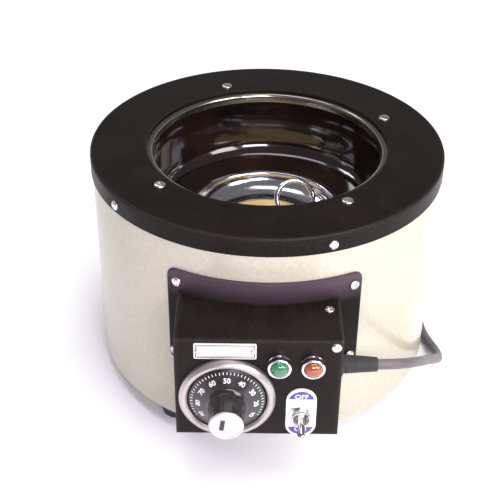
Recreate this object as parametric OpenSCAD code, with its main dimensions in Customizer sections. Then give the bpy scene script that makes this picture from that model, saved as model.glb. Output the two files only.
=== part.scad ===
// Bowl-type vibratory rock tumbler: a sprung bowl and motor inside a standing drum, with a
// control box on the front and a mains lead at its side. Millimetres, +Z up, front towards -Y.

/* [Drum] */
// Outside diameter of the drum
drum_d = 230; // [229:0.5:231]
// Height from the drum's lower edge to the top of the cover
drum_h = 151; // [150:1:154]
// Height of the rubber feet
foot_h = 12; // [10:1:14]
// Thickness of the drum's sheet
shell_t = 1; // [0.8:0.1:1.2]

/* [Cover] */
// How far the cover stands out over the drum, on the radius
cover_lip = 1; // [0.8:0.1:1.5]
// Thickness of the cover plate
cover_t = 2; // [1.5:0.5:2]
// Depth of the skirt round the drum
skirt_h = 12.6; // [10:0.2:14]
// Diameter of the opening over the bowl
opening_d = 158; // [156:1:160]

/* [Bowl] */
// Inside radius of the bowl at its rim
bowl_r = 80; // [79.5:0.5:80]
// Wall of the bowl
bowl_t = 2.8; // [2.4:0.2:2.8]
// Radius of the polished dish in the bowl's floor
dish_r = 50; // [48:1:50]
// Depth from the top of the cover to the dish's rim
ledge_depth = 53; // [52:1:54]
// Depth from the top of the cover to the floor pad
pad_depth = 64; // [63:1:65]

/* [Control box] */
// Width of the box
box_w = 97; // [96:1:100]
// Height of the box
box_h = 71.6; // [70:0.2:74]
// Left side of the box, from the drum's axis
box_left = -53.5; // [-54:0.5:-52]
// Distance from the drum's axis to the front panel
panel_reach = 151.4; // [150:0.2:154]
// Height of the box's lower edge over the floor
box_low = 46; // [45:1:48]
// Thickness of the box's sheet
box_t = 1.5; // [1.2:0.1:1.5]

/* [Controls] */
// Outside diameter of the ring round the dial
bezel_d = 57; // [56:1:58]
// How far the knob stands out from the panel
knob_reach = 26; // [25:1:28]
// Angle of the switch lever below level, in degrees
lever_tilt = 23; // [18:1:24]

/* [Springing] */
// Outside diameter of each spring
spring_d = 18; // [17:1:19]
// Free turns of each spring
spring_turns = 5; // [4:1:6]
// Distance of the springs from the axis
spring_pitch_r = 72; // [70:1:73]

/* [Mains lead] */
// Diameter of the lead
cord_d = 6.5; // [6:0.1:6.6]
// Turns that lie side by side in the coil
coil_columns = 3; // [3:1:3]
// Layers of the coil
coil_layers = 2; // [2:1:2]

/* [Hidden] */
$fn = 64;
eps = 0.05;
base_z = foot_h;
top_z = foot_h + drum_h;
drum_r = drum_d / 2;
cover_r = drum_r + cover_lip;
opening_r = opening_d / 2;
cover_under = top_z - cover_t;
skirt_t = 0.8;

// Screw sizes: radius of shank and head, and height of head
m3 = [1.5, 2.8, 1.6];
m4 = [2.0, 3.6, 1.9];
m5 = [2.5, 4.4, 2.6];

// Drum floor and feet
flange_t = 1.2;
flange_in_r = 88;
base_t = 1.5;
base_top = base_z + flange_t + base_t;
foot_r = 11;
foot_pitch_r = 100;
foot_angles = [-126, -6, 114];

// Cover fittings
trim_t = 1;
trim_bend = 5;
trim_leg_z = top_z - 8;
trim_flange_r = 94;
trim_screw_r = 88;
trim_screw_angles = [24, 109, 221, 303];
skirt_screw_z = top_z - 7.2;
skirt_screw_angles = [for (i = [0:4]) 1 + 72 * i];
seal_t = 1.6;

// Sprung stack, from the bowl's rim down
bowl_rim_z = cover_under - 5;
ledge_z = top_z - ledge_depth;
pad_top = top_z - pad_depth;
pad_t = 8;
dish_t = 1.2;
dish_floor = pad_top - pad_t;
dish_foot_r = 33.6;
well_r = 32.4;
wall_foot_r = 66;
wall_fillet = 12;
platform_t = 3;
platform_r = 86;
platform_top = dish_floor - dish_t - bowl_t;
platform_under = platform_top - platform_t;
boss_h = 10;
motor_top = platform_under - boss_h;
motor_h = 40;
motor_r = 40;
motor_low = motor_top - motor_h;
bell_h = 12;
bell_t = 3;
core_low = motor_low + bell_h;
core_h = motor_h - 2 * bell_h;
shaft_r = 4;
bearing_r = 11;
bearing_w = 7;
rotor_r = 20.6;
rotor_gap = 0.4;
ear_pitch_r = 46;
weight_r = 31;
weight_h = 11;
weight_low = motor_low - 3 - weight_h;

// Springs
wire_d = 2.2;
cup_t = 2;
spigot_r = spring_d / 2 - wire_d - 0.5;
post_top = base_top + 29.3;
spring_low = post_top + eps;
spring_high = platform_under - cup_t - eps;
spring_angles = [45, 135, 225, 315];

// Pad, lift button and ring
button_x = 20;
button_r = 7.5;
eye_z = pad_top + 6;
ring_wire_r = 1.7;
ring_mean_r = 12.5;
ring_lean = 35;

// Saddle and box
saddle_t = 2;
saddle_r = drum_r + saddle_t;
saddle_x = [-60, 57];
saddle_z = [62, 132];
saddle_screws_at = [[-117.5, 124], [-63.6, 124], [-118.9, 70], [-63.6, 70]];
panel_y = -panel_reach;
box_right = box_left + box_w;
box_high = box_low + box_h;
frame_t = 1.2;
wire_hole_z = 92;
wire_hole_r = 8;

// Places on the panel: across, and height over the floor
dial_at = [-22.8, 75.6];
green_at = [7.2, 101];
orange_at = [26.5, 101];
toggle_at = [20.9, 64];
name_at = [-24, 110];
name_size = [36, 11, 0.8];
bezel_in_r = bezel_d / 2 - 5;
lever_pivot = 1.6;
lever_pin = [0.8, 9]; // radius and length
bushing_top = 7;
lever_l = 16.7;

// Mains lead: exit, coil and plug, measured from the drum's axis
cord_r = cord_d / 2;
cord_exit = [43.5, -126, 80];
relief_l = 24;
tie_t = 0.8;
coil_at = [52, 160];
coil_mid_r = 34.5;
coil_low_z = tie_t;
coil_half_w = coil_columns * cord_d / 2;
coil_h = coil_layers * cord_d;
plug_at = [-20, 209.3, 12];

// The lead's way from the box round the drum to the coil
lead_route = [
    [36, -126, 80], [50, -126, 80], [60, -126, 80], [70, -126, 80], [79.5, -123, 78],
    [88, -116, 73], [95, -106.5, 66], [100.5, -96, 58], [105, -85, 49.5], [109.5, -74, 41],
    [114, -63, 32], [118.5, -52.5, 23.5], [122.5, -42, 15.5], [124.5, -30.5, 9.5],
    [123.5, -18.5, 5.8], [120.5, -7, 4], [118.3, 5, 3.4], [117.5, 18, 3.3], [116.5, 32, 3.3],
    [114.5, 46, 3.3], [112, 60, 3.3], [109, 74, 3.3], [106, 88, 3.3], [103, 102, 3.3],
    [99.8, 116, 3.4], [97.6, 130, 3.6], [96.6, 145, 3.9], [96.2, 160, 4.1]
];
// The lead's way from the coil to the plug
plug_route = [
    [57.5, 116.1, 10.6], [67.5, 116.2, 10.6], [77.2, 119.7, 10.6], [88.4, 129.5, 10.6],
    [96.6, 143.8, 10.6], [99.5, 160, 10.4], [98.6, 174, 9.4], [94, 188, 7.4], [85.5, 200, 5.4],
    [73.5, 209, 4.1], [59, 214, 3.5], [44, 215.5, 3.3], [29, 214.5, 3.3], [16, 212.8, 4],
    [4, 211, 6.6], [-8, 209.8, 10.2], [-20, 209.3, 12]
];

// The object's own box without the lead, which puts the origin under its middle
drum_x = -m4[2] / 2;
drum_y = (panel_reach + knob_reach - cover_r) / 2;

// ---- Helpers ----

// Moves the drum's axis to its place in the object's own frame
module in_frame() {
    translate([drum_x, drum_y, 0]) children();
}

// Local z points straight out of the front panel, local y is up
module on_panel(at, out = 0) {
    translate([at[0], panel_y - out, at[1]]) rotate([90, 0, 0]) children();
}

// Local z points away from the drum's axis at an azimuth, from a radius and a height
module radial(azimuth, r, z) {
    rotate([0, 0, azimuth]) translate([r, 0, z]) rotate([0, 90, 0]) children();
}

// Copies standing on a circle
module ring_of(angles, r, z = 0) {
    for (a = angles) rotate([0, 0, a]) translate([r, 0, z]) children();
}

// Points on an elliptic arc, angle 0 pointing along -z and 90 along +r
function dip_arc(r0, z0, a, b, from, to, n) =
    [for (i = [0:n]) let (t = from + (to - from) * i / n) [r0 + a * sin(t), z0 - b * cos(t)]];

// Points on a round arc, angle 0 along +r
function arc(r0, z0, r, from, to, n) =
    [for (i = [0:n]) let (t = from + (to - from) * i / n) [r0 + r * cos(t), z0 + r * sin(t)]];

// Plain tube or ring standing on z = 0
module ring(outer, inner, h) {
    difference() {
        cylinder(r = outer, h = h);
        translate([0, 0, -1]) cylinder(r = inner, h = h + 2);
    }
}

// Round-headed screw, its head standing on z = 0 and its shank below
module screw(size, length) {
    head_r = size[1];
    head_h = size[2];
    difference() {
        union() {
            translate([0, 0, -length]) cylinder(r = size[0], h = length + eps);
            rotate_extrude() polygon(concat([[0, 0], [head_r, 0]],
                [for (t = [15:15:90]) [head_r * cos(t), head_h * (0.25 + 0.75 * sin(t))]]));
        }
        for (a = [0, 90]) rotate([0, 0, a]) translate([-head_r * 0.55, -0.35, head_h * 0.55])
            cube([head_r * 1.1, 0.7, head_h]);
    }
}

// Hexagon nut standing on z = 0
module nut(across, bore_r, h) {
    difference() {
        cylinder(d = across / cos(30), h = h, $fn = 6);
        translate([0, 0, -1]) cylinder(r = bore_r, h = h + 2);
    }
}

// Rectangle with round corners, lowest corner at the origin
module round_rect(w, h, r) {
    translate([r, 0]) square([w - 2 * r, h]);
    translate([0, r]) square([w, h - 2 * r]);
    for (x = [r, w - r], y = [r, h - r]) translate([x, y]) circle(r = r);
}

// Sweeps a round section along points: one closed skin with a ring at each point
function unit(v) = v / norm(v);
function heading(p, i) = unit(p[min(i + 1, len(p) - 1)] - p[max(i - 1, 0)]);
module tube(path, r, sides, up = [0, 0, 1]) {
    last = len(path) - 1;
    skin = [for (i = [0:last], k = [0:sides - 1])
        let (t = heading(path, i), u = unit(cross(t, up)), v = cross(u, t), a = 360 * k / sides)
        path[i] + r * (u * cos(a) + v * sin(a))];
    walls = [for (i = [0:last - 1], k = [0:sides - 1], half = [0, 1])
        let (a = i * sides + k, b = i * sides + (k + 1) % sides)
        half == 0 ? [b, a, a + sides] : [b, a + sides, b + sides]];
    caps = [[for (k = [0:sides - 1]) k], [for (k = [sides - 1:-1:0]) last * sides + k]];
    polyhedron(points = skin, faces = concat(walls, caps), convexity = 6);
}

// ---- Drum ----

module drum_shell() {
    in_frame() color("#efe9d8") difference() {
        union() {
            translate([0, 0, base_z]) ring(drum_r, drum_r - shell_t, drum_h - cover_t);
            translate([0, 0, base_z]) ring(drum_r - shell_t / 2, flange_in_r, flange_t);
        }
        ring_of(foot_angles, foot_pitch_r, base_z - 1) cylinder(r = m5[0] + 0.1, h = 4);
        for (s = saddle_screws_at)
            radial(s[0], drum_r - 5, s[1]) cylinder(r = m3[0] + eps, h = 10);
        for (a = skirt_screw_angles)
            radial(a, drum_r - 5, skirt_screw_z) cylinder(r = m3[0] + eps, h = 10);
        radial(-90, drum_r - 5, wire_hole_z) cylinder(r = wire_hole_r, h = 10);
    }
}

module base_plate() {
    in_frame() color("#8d9094") difference() {
        translate([0, 0, base_top - base_t]) cylinder(r = drum_r - shell_t - 0.5, h = base_t);
        ring_of(foot_angles, foot_pitch_r, base_z) cylinder(r = m5[0] + 0.1, h = 10);
        ring_of(spring_angles, spring_pitch_r, base_z) cylinder(r = m5[0] + 0.1, h = 10);
        for (a = [0:30:330], r = [44, 56])
            rotate([0, 0, a + (r == 44 ? 15 : 0)]) translate([r, 0, base_z]) cylinder(r = 3, h = 10);
    }
}

module rubber_feet() {
    in_frame() color("#1d1d1f") ring_of(foot_angles, foot_pitch_r) difference() {
        rotate_extrude() polygon([[0, 0], [foot_r - 1.5, 0], [foot_r - 0.5, 1], [foot_r, foot_h],
            [0, foot_h]]);
        translate([0, 0, -1]) cylinder(r = 5.2, h = 6);
        translate([0, 0, -1]) cylinder(r = m5[0] + 0.1, h = foot_h + 2);
    }
}

module base_screws() {
    in_frame() color("#b9bcc0") {
        ring_of(foot_angles, foot_pitch_r, 5) rotate([180, 0, 0]) screw(m5, base_top + 0.5);
        ring_of(spring_angles, spring_pitch_r, base_top - base_t) rotate([180, 0, 0])
            screw(m5, 12);
    }
}

module hex_nuts() {
    in_frame() color("#b9bcc0") {
        ring_of(foot_angles, foot_pitch_r, base_top) nut(8, m5[0] + eps, 4);
        ring_of(trim_screw_angles, trim_screw_r, cover_under - trim_t - seal_t - 3.2)
            nut(7, m4[0] + eps, 3.2);
        for (s = saddle_screws_at) radial(s[0], drum_r - shell_t - 2.9, s[1])
            nut(5.5, m3[0] + eps, 2.4);
    }
}

// ---- Cover ----

module top_cover() {
    in_frame() color("#1c1715") difference() {
        rotate_extrude() polygon(concat(
            [[opening_r, cover_under]], arc(opening_r + 0.6, top_z - 0.6, 0.6, 180, 90, 4),
            arc(cover_r - 1.6, top_z - 1.6, 1.6, 90, 0, 6),
            [[cover_r, top_z - skirt_h], [cover_r - skirt_t, top_z - skirt_h],
             [cover_r - skirt_t, cover_under]]));
        ring_of(trim_screw_angles, trim_screw_r, cover_under - 1) cylinder(r = m4[0] + 0.1, h = 4);
        for (a = skirt_screw_angles)
            radial(a, drum_r - 5, skirt_screw_z) cylinder(r = m3[0] + eps, h = 10);
    }
}

module skirt_screws() {
    in_frame() color("#d8d8d6") for (a = skirt_screw_angles)
        radial(a, cover_r, skirt_screw_z) screw([m3[0], 3.1, m4[2]], 7);
}

module trim_ring() {
    bend_r = opening_r + 1;
    bend_z = cover_under - trim_bend;
    in_frame() color("#c9c9cc") difference() {
        rotate_extrude() polygon(concat(
            [[trim_flange_r, cover_under]], arc(bend_r, bend_z, trim_bend, 90, 180, 10),
            [[bend_r - trim_bend, trim_leg_z], [bend_r - trim_bend + trim_t, trim_leg_z]],
            arc(bend_r, bend_z, trim_bend - trim_t, 180, 90, 10),
            [[trim_flange_r, cover_under - trim_t]]));
        ring_of(trim_screw_angles, trim_screw_r, cover_under - 3) cylinder(r = m4[0] + 0.1, h = 4);
    }
}

module trim_screws() {
    in_frame() color("#d8d8d6") ring_of(trim_screw_angles, trim_screw_r, top_z) screw(m4, 8.5);
}

module splash_seal() {
    in_frame() color("#26262a") difference() {
        translate([0, 0, cover_under - trim_t - seal_t]) ring(trim_flange_r, bowl_r + 2, seal_t);
        ring_of(trim_screw_angles, trim_screw_r, cover_under - 4) cylinder(r = m4[0] + 0.1, h = 4);
    }
}

// ---- Saddle and control box ----

module saddle_plate() {
    w = saddle_x[1] - saddle_x[0];
    h = saddle_z[1] - saddle_z[0];
    in_frame() color("#1f1a18") difference() {
        intersection() {
            ring(saddle_r, drum_r + eps, 200);
            translate([saddle_x[0], 0, saddle_z[0]]) rotate([90, 0, 0])
                linear_extrude(height = 140) round_rect(w, h, 6);
        }
        for (s = saddle_screws_at)
            radial(s[0], drum_r - 5, s[1]) cylinder(r = m3[0] + eps, h = 12);
        radial(-90, drum_r - 5, wire_hole_z) cylinder(r = wire_hole_r, h = 12);
    }
}

module saddle_screws() {
    in_frame() color("#d8d8d6") for (s = saddle_screws_at)
        radial(s[0], saddle_r, s[1]) screw([m3[0], 3.2, 2], 8);
}

// Where the box meets the curved saddle
module behind_box() {
    cylinder(r = saddle_r + eps, h = 200);
}

module box_frame() {
    inner_w = box_w - 2 * frame_t;
    in_frame() color("#1f1a18") difference() {
        union() {
            difference() {
                translate([box_left, panel_y + box_t, box_low])
                    cube([box_w, 60, box_h - box_t]);
                translate([box_left + frame_t, panel_y, box_low + frame_t])
                    cube([inner_w, 90, box_h]);
            }
            translate([box_right - 16, -127, box_high - box_t - frame_t]) cube([16, 12, frame_t]);
            translate([box_right - 12, panel_y + box_t, box_high - 12]) cube([12, frame_t, 10]);
            translate([box_left, -122, box_low]) cube([box_w, 1.2, 12]);
        }
        behind_box();
        translate([box_right - 5, cord_exit[1], cord_exit[2]]) rotate([0, 90, 0])
            cylinder(r = 6.5, h = 10);
        translate([36.6, -121.8, box_high - 8]) cylinder(r = m3[0] + eps, h = 10);
        on_panel([39.5, 113.3], -5) cylinder(r = m3[0] + eps, h = 10);
        for (x = [-40, 30]) translate([x, -135, box_low - 5]) cylinder(r = m3[0] + eps, h = 10);
    }
}

module box_cover() {
    bend = 2.5;
    back = -95;
    in_frame() color("#1f1a18") difference() {
        translate([box_left, 0, 0]) rotate([90, 0, 90]) linear_extrude(height = box_w)
            polygon(concat(
                [[panel_y, box_low - eps]],
                arc(panel_y + bend, box_high - bend, bend, 180, 90, 6),
                [[back, box_high], [back, box_high - box_t]],
                arc(panel_y + bend, box_high - bend, bend - box_t, 90, 180, 4),
                [[panel_y + box_t, box_low - eps]]));
        behind_box();
        on_panel(dial_at, -5) cylinder(r = 5.1, h = 10);
        on_panel(green_at, -5) cylinder(r = 6.05, h = 10);
        on_panel(orange_at, -5) cylinder(r = 6.05, h = 10);
        on_panel(toggle_at, -5) cylinder(r = 5.85, h = 10);
        for (dx = [-16, 16]) on_panel(name_at + [dx, 0], -5) cylinder(r = 0.9, h = 10);
        translate([36.6, -121.8, box_high - 5]) cylinder(r = m3[0] + eps, h = 10);
        on_panel([39.5, 113.3], -5) cylinder(r = m3[0] + eps, h = 10);
    }
}

module box_screws() {
    in_frame() color("#d8d8d6") {
        translate([36.6, -121.8, box_high]) screw([m3[0], 3, 1.8], 6);
        on_panel([39.5, 113.3]) screw([m3[0], 3, 1.8], 6);
        for (x = [-40, 30]) translate([x, -135, box_low]) rotate([180, 0, 0])
            screw([m3[0], 3, 1.8], 6);
    }
}

module nameplate() {
    in_frame() color("#e4e4e2") on_panel(name_at) difference() {
        translate([-name_size[0] / 2, -name_size[1] / 2, 0]) linear_extrude(height = name_size[2])
            round_rect(name_size[0], name_size[1], 1);
        for (dx = [-16, 16]) translate([dx, 0, -1]) cylinder(r = 0.9, h = 3);
    }
}

module nameplate_rivets() {
    in_frame() color("#c9c9cc") for (dx = [-16, 16]) on_panel(name_at + [dx, 0], name_size[2]) {
        rotate_extrude() polygon([[0, 0], [1.5, 0], [1.3, 0.5], [0.7, 0.8], [0, 0.9]]);
        translate([0, 0, -3.5]) cylinder(r = 0.85, h = 3.5 + eps);
    }
}

// ---- Dial and knob ----

module dial_bezel() {
    r = bezel_d / 2;
    in_frame() color("#cfcfd1") on_panel(dial_at) rotate_extrude() polygon(concat(
        [[bezel_in_r, 0], [r, 0]], arc(r - 2.4, 2.2, 2.4, 0, 90, 6),
        arc(bezel_in_r + 1.2, 3.4, 1.2, 90, 180, 4)));
}

module regulator_body() {
    in_frame() color("#6d6f72") on_panel(dial_at, -box_t) difference() {
        union() {
            translate([0, 0, -24]) cylinder(r = 18, h = 24);
            translate([0, 0, -1]) cylinder(r = 5, h = box_t + 7);
            for (x = [-9, 0, 9]) translate([x - 2, -24, -20]) cube([4, 8, 0.8]);
        }
        translate([0, 0, -21]) cylinder(r = 3.04, h = 40);
    }
}

module panel_nuts() {
    in_frame() color("#cfcfd1") {
        on_panel(dial_at) nut(14, 5.05, 2.5);
        on_panel(toggle_at, 1.2) nut(14, 5.8, 2.5);
    }
}

module regulator_shaft() {
    in_frame() color("#b08d3f") on_panel(dial_at, -box_t) translate([0, 0, -20])
        cylinder(r = 3, h = 20 + box_t + 19);
}

module control_knob() {
    skirt_r = bezel_in_r - 0.7;
    barrel_top = knob_reach - 1.7;
    in_frame() color("#171414") on_panel(dial_at) difference() {
        rotate_extrude() polygon([[0, 1.6], [skirt_r, 1.6], [skirt_r, 3], [12.2, 8.2], [11, 9.4],
            [10.6, barrel_top - 0.6], [10, barrel_top], [0, barrel_top]]);
        translate([0, 0, -1]) cylinder(r = 9.6, h = 8);
        translate([0, 0, -1]) cylinder(r = 3, h = 20.01);
        translate([0, 0, 13]) rotate([90, 0, 0]) cylinder(r = 1.5, h = 20);
    }
}

module knob_cap() {
    low = knob_reach - 1.7;
    in_frame() color("#e8e8e6") on_panel(dial_at) rotate_extrude() polygon([[0, low], [10, low],
        [10.2, low + 0.5], [9.9, low + 1.3], [9, knob_reach - 0.1], [0, knob_reach]]);
}

module knob_screw() {
    in_frame() color("#77797c") on_panel(dial_at) translate([0, -3.02, 13]) rotate([90, 0, 0])
        difference() {
            cylinder(r = 1.45, h = 6);
            translate([0, 0, 4.5]) cylinder(d = 1.5, h = 2, $fn = 6);
        }
}

// ---- Lamps ----

module lamp_bezels() {
    in_frame() color("#cfcfd1") for (at = [green_at, orange_at]) on_panel(at) difference() {
        rotate_extrude() polygon(concat([[0, 0], [7.25, 0], [7.25, 1.6]],
            arc(6.4, 5, 0.7, 0, 90, 4), [[0, 5.7]]));
        translate([0, 0, -1]) cylinder(r = 5.3, h = 9);
    }
}

module lens_shape(at) {
    on_panel(at) rotate_extrude() polygon(concat([[0, 1]], [[5.2, 1]],
        [for (t = [0:15:90]) [5.2 * cos(t), 6 + 3 * sin(t)]]));
}

module green_lens() {
    in_frame() color("#2f9e57") lens_shape(green_at);
}

module orange_lens() {
    in_frame() color("#e0562a") lens_shape(orange_at);
}

module lamp_bodies() {
    in_frame() color("#d9d4c6") for (at = [green_at, orange_at]) on_panel(at) union() {
        translate([0, 0, -22]) cylinder(r = 5.2, h = 22.95);
        translate([0, 0, -6.5]) cylinder(r = 8, h = 5);
        for (x = [-2.5, 2.5]) translate([x - 0.4, -1.5, -28]) cube([0.8, 3, 6.5]);
    }
}

// ---- Switch ----

module toggle_plate() {
    in_frame() color("#f0f0f2") on_panel(toggle_at) difference() {
        translate([-9, -18.5, 0]) linear_extrude(height = 1.2) round_rect(18, 37, 8.99);
        translate([0, 0, -1]) cylinder(r = 5.85, h = 4);
    }
}

module toggle_body() {
    in_frame() color("#8a3b22") on_panel(toggle_at) difference() {
        union() {
            translate([-6.5, -14, -box_t - 18]) cube([13, 28, 18]);
            translate([0, 0, -box_t - 1]) cylinder(r = 5.75, h = box_t + 1 + bushing_top);
            for (y = [-9, 0, 9]) translate([-0.4, y - 2.5, -box_t - 25]) cube([0.8, 5, 8]);
        }
        translate([0, 0, -5]) cylinder(r = 3.1, h = 5 + lever_pivot);
        translate([0, 0, lever_pivot - eps])
            cylinder(r1 = 3.1, r2 = 5, h = bushing_top - lever_pivot + 2 * eps);
        translate([-lever_pin[1] / 2 - 0.1, 0, lever_pivot]) rotate([0, 90, 0])
            cylinder(r = lever_pin[0] + 0.05, h = lever_pin[1] + 0.2);
    }
}

module toggle_lever() {
    in_frame() color("#cfcfd1") on_panel(toggle_at, lever_pivot) rotate([lever_tilt, 0, 0])
        union() {
            sphere(r = 2.9);
            translate([-lever_pin[1] / 2, 0, 0]) rotate([0, 90, 0])
                cylinder(r = lever_pin[0], h = lever_pin[1]);
            translate([0, 0, -4]) cylinder(r = 1.2, h = 4);
            cylinder(r1 = 1.5, r2 = 2.55, h = lever_l - 2.5);
            translate([0, 0, lever_l - 2.6]) sphere(r = 2.6);
        }
}

// ---- Wiring ----

module terminal_block() {
    in_frame() color("#e6e2d4") translate([-15, -100, base_top]) difference() {
        union() {
            cube([30, 15, 8]);
            for (i = [0:2]) translate([2 + i * 9.5, 2.5, 8 - eps]) cube([7, 10, 6]);
        }
        for (i = [0:2]) translate([5.5 + i * 9.5, 7.5, 10]) cylinder(r = 2.2, h = 10);
        for (i = [0:2]) translate([5.5 + i * 9.5, -1, 5]) rotate([-90, 0, 0])
            cylinder(r = 1.6, h = 20);
    }
}

module control_wiring() {
    in_frame() color("#3a5a8c") {
        for (i = [0:1])
            tube([[-4 + i * 5, -124, 74], [-3.5 + i * 4, -122, 84], [-2.5 + i * 4, -119, 90],
                  [-2 + i * 4, -112, 92], [-2 + i * 4, -105, 90], [-4 + i * 6, -102, 80],
                  [-9.5 + i * 9.5, -103, 60], [-9.5 + i * 9.5, -104.5, 40],
                  [-9.5 + i * 9.5, -104.5, 26], [-9.5 + i * 9.5, -102.5, 20.5],
                  [-9.5 + i * 9.5, -98, base_top + 5]], 1.2, 8, [1, 0, 0]);
        tube([[27, -125, 78], [24, -123, 72], [21, -123, 62], [18, -123.8, 54]], 1.2, 8, [0, 1, 0]);
    }
}

module wire_grommet() {
    in_frame() color("#1d1d1f") radial(-90, drum_r - shell_t - 1.5, wire_hole_z) rotate_extrude()
        polygon([[6, 0], [9.5, 0], [9.5, 0.9], [wire_hole_r - 0.1, 0.9],
                 [wire_hole_r - 0.1, 4.9], [9.5, 4.9], [9.5, 6.2], [6, 6.2]]);
}

// ---- Mains lead ----

module cord_gland() {
    in_frame() color("#18181a") translate(cord_exit) rotate([0, 90, 0]) difference() {
        rotate_extrude() polygon([[0, -5], [8.5, -5], [8.5, -frame_t], [6.4, -frame_t],
            [6.4, 0], [8.5, 0], [8.5, 2], [5.8, 3.4], [4.3, relief_l], [0, relief_l]]);
        translate([0, 0, -6]) cylinder(r = cord_r + 0.1, h = relief_l + 8);
        for (i = [0:4]) translate([0, 0, 6 + i * 3.6]) for (s = [-1, 1])
            translate([-6, s * 5.3 - 1.2, 0]) cube([12, 2.4, 1.4]);
    }
}

module mains_cord() {
    in_frame() color("#3a3a3c") {
        tube(lead_route, cord_r, 10);
        tube(plug_route, cord_r, 10);
    }
}

module cord_coil() {
    in_frame() color("#3a3a3c") translate([coil_at[0], coil_at[1], coil_low_z])
        ring(coil_mid_r + coil_half_w, coil_mid_r - coil_half_w, coil_h);
}

module cord_tie() {
    gap = 0.05;
    in_frame() color("#1d1d1f") translate([coil_at[0], coil_at[1], 0]) rotate([0, 0, 205])
        translate([coil_mid_r, 0, 0]) difference() {
            translate([-coil_half_w - tie_t - 0.6, -5, 0])
                cube([2 * coil_half_w + 2 * tie_t + 0.6, 10, coil_h + 2 * tie_t]);
            translate([-coil_mid_r, 0, tie_t - gap])
                ring(coil_mid_r + coil_half_w + gap, coil_mid_r - coil_half_w - gap,
                    coil_h + 2 * gap);
        }
}

module mains_plug() {
    in_frame() color("#1d1d1f") translate(plug_at) rotate([0, -90, 0]) difference() {
        union() {
            translate([-2.5, 0, 0]) cylinder(r1 = 4.6, r2 = 7.5, h = 16);
            translate([0, 0, 15]) intersection() {
                cylinder(r1 = 11, r2 = 19, h = 20);
                translate([-12, -20, 0]) cube([24, 40, 20]);
            }
            translate([0, 0, 35 - eps]) intersection() {
                cylinder(r = 19, h = 6);
                translate([-12, -20, 0]) cube([24, 40, 6]);
            }
        }
        for (p = [[-5, -9], [-5, 9], [6, 0]]) translate([p[0], p[1], 25]) cylinder(r = 2.55, h = 20);
    }
}

module plug_pins() {
    in_frame() color("#c7a04a") translate(plug_at) rotate([0, -90, 0])
        for (p = [[-5, -9], [-5, 9], [6, 0]]) translate([p[0], p[1], 25.02]) union() {
            cylinder(r = 2.5, h = 31);
            translate([0, 0, 31]) cylinder(r1 = 2.5, r2 = 1.6, h = 2);
        }
}

// ---- Springing ----

module spring_posts() {
    in_frame() color("#9a9da1") ring_of(spring_angles, spring_pitch_r, base_top) difference() {
        union() {
            cylinder(r = 12, h = 5);
            cylinder(r = 9.5, h = post_top - base_top);
            cylinder(r = spigot_r, h = post_top - base_top + 7);
        }
        translate([0, 0, -1]) cylinder(r = m5[0] + eps, h = 14);
    }
}

module springs() {
    steps = 12;
    coil_r = (spring_d - wire_d) / 2;
    rise = spring_high - spring_low - wire_d;
    count = spring_turns * steps;
    in_frame() color("#a9adb3") ring_of(spring_angles, spring_pitch_r, spring_low + wire_d / 2)
        tube([for (i = [0:count]) let (a = 360 * i / steps)
            [coil_r * cos(a), coil_r * sin(a), rise * i / count]], wire_d / 2 - 0.01, 6);
}

module spring_cups() {
    in_frame() color("#9a9da1") ring_of(spring_angles, spring_pitch_r, platform_under - cup_t)
        union() {
            cylinder(r = 11.5, h = cup_t);
            translate([0, 0, -6]) cylinder(r = spigot_r, h = 6 + eps);
        }
}

module spring_platform() {
    in_frame() color("#8d9094") translate([0, 0, platform_under]) difference() {
        cylinder(r = platform_r, h = platform_t);
        translate([0, 0, -1]) cylinder(r = 4.2, h = 6);
        ring_of([0, 90, 180, 270], ear_pitch_r, -1) cylinder(r = m5[0] + 0.1, h = 6);
        ring_of([0, 90, 180, 270], 68, -1) cylinder(r = 10, h = 6);
    }
}

// ---- Motor ----

module bell(open_bottom) {
    difference() {
        union() {
            cylinder(r = motor_r, h = bell_h);
            if (open_bottom) translate([0, 0, bell_h - bell_t]) cylinder(r = ear_pitch_r + 6, h = bell_t);
        }
        translate([0, 0, -1]) ring(motor_r - bell_t, bearing_r + 3, bell_h - bell_t + 1);
        translate([0, 0, -1]) cylinder(r = bearing_r + 0.02, h = bell_h - bell_t + 1);
        ring_of([45, 135, 225, 315], 38.2, -1) cylinder(r = 1.3, h = bell_h + 2);
        for (a = [0:30:330]) rotate([0, 0, a]) translate([26, 0, 0]) cylinder(r = 2.4, h = 40);
    }
}

module motor_top_bell() {
    in_frame() color("#a7a9ab") {
        translate([0, 0, motor_top - bell_h]) bell(true);
        ring_of([0, 90, 180, 270], ear_pitch_r, motor_top) ring(5.5, m5[0] + eps, boss_h);
    }
}

module motor_bottom_bell() {
    in_frame() color("#a7a9ab") difference() {
        translate([0, 0, motor_low + bell_h]) mirror([0, 0, 1]) bell(false);
        translate([0, 0, motor_low - 1]) cylinder(r = shaft_r + 0.6, h = 10);
    }
}

module stator_core() {
    in_frame() color("#5d5f63") translate([0, 0, core_low]) difference() {
        ring(motor_r - 0.8, rotor_r + rotor_gap, core_h);
        ring_of([for (i = [0:11]) 30 * i], 27, -1) cylinder(r = 3.2, h = core_h + 2);
        ring_of([45, 135, 225, 315], 38.2, -1) cylinder(r = 1.3, h = core_h + 2);
    }
}

module stator_windings() {
    in_frame() color("#b5652b") translate([0, 0, core_low]) union() {
        translate([0, 0, -6]) ring(32, 22.5, 6 - eps);
        translate([0, 0, core_h + eps]) ring(32, 22.5, 6 - eps);
        ring_of([for (i = [0:11]) 30 * i], 27, -1) cylinder(r = 3.1, h = core_h + 2);
    }
}

module bearings() {
    in_frame() color("#c9c9cc") for (z = [motor_low + bell_t, motor_top - bell_t - bearing_w])
        translate([0, 0, z]) ring(bearing_r, shaft_r + 0.03, bearing_w);
}

module motor_screws() {
    in_frame() color("#b9bcc0") ring_of([0, 90, 180, 270], ear_pitch_r, platform_top) screw(m5, 12);
}

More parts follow.
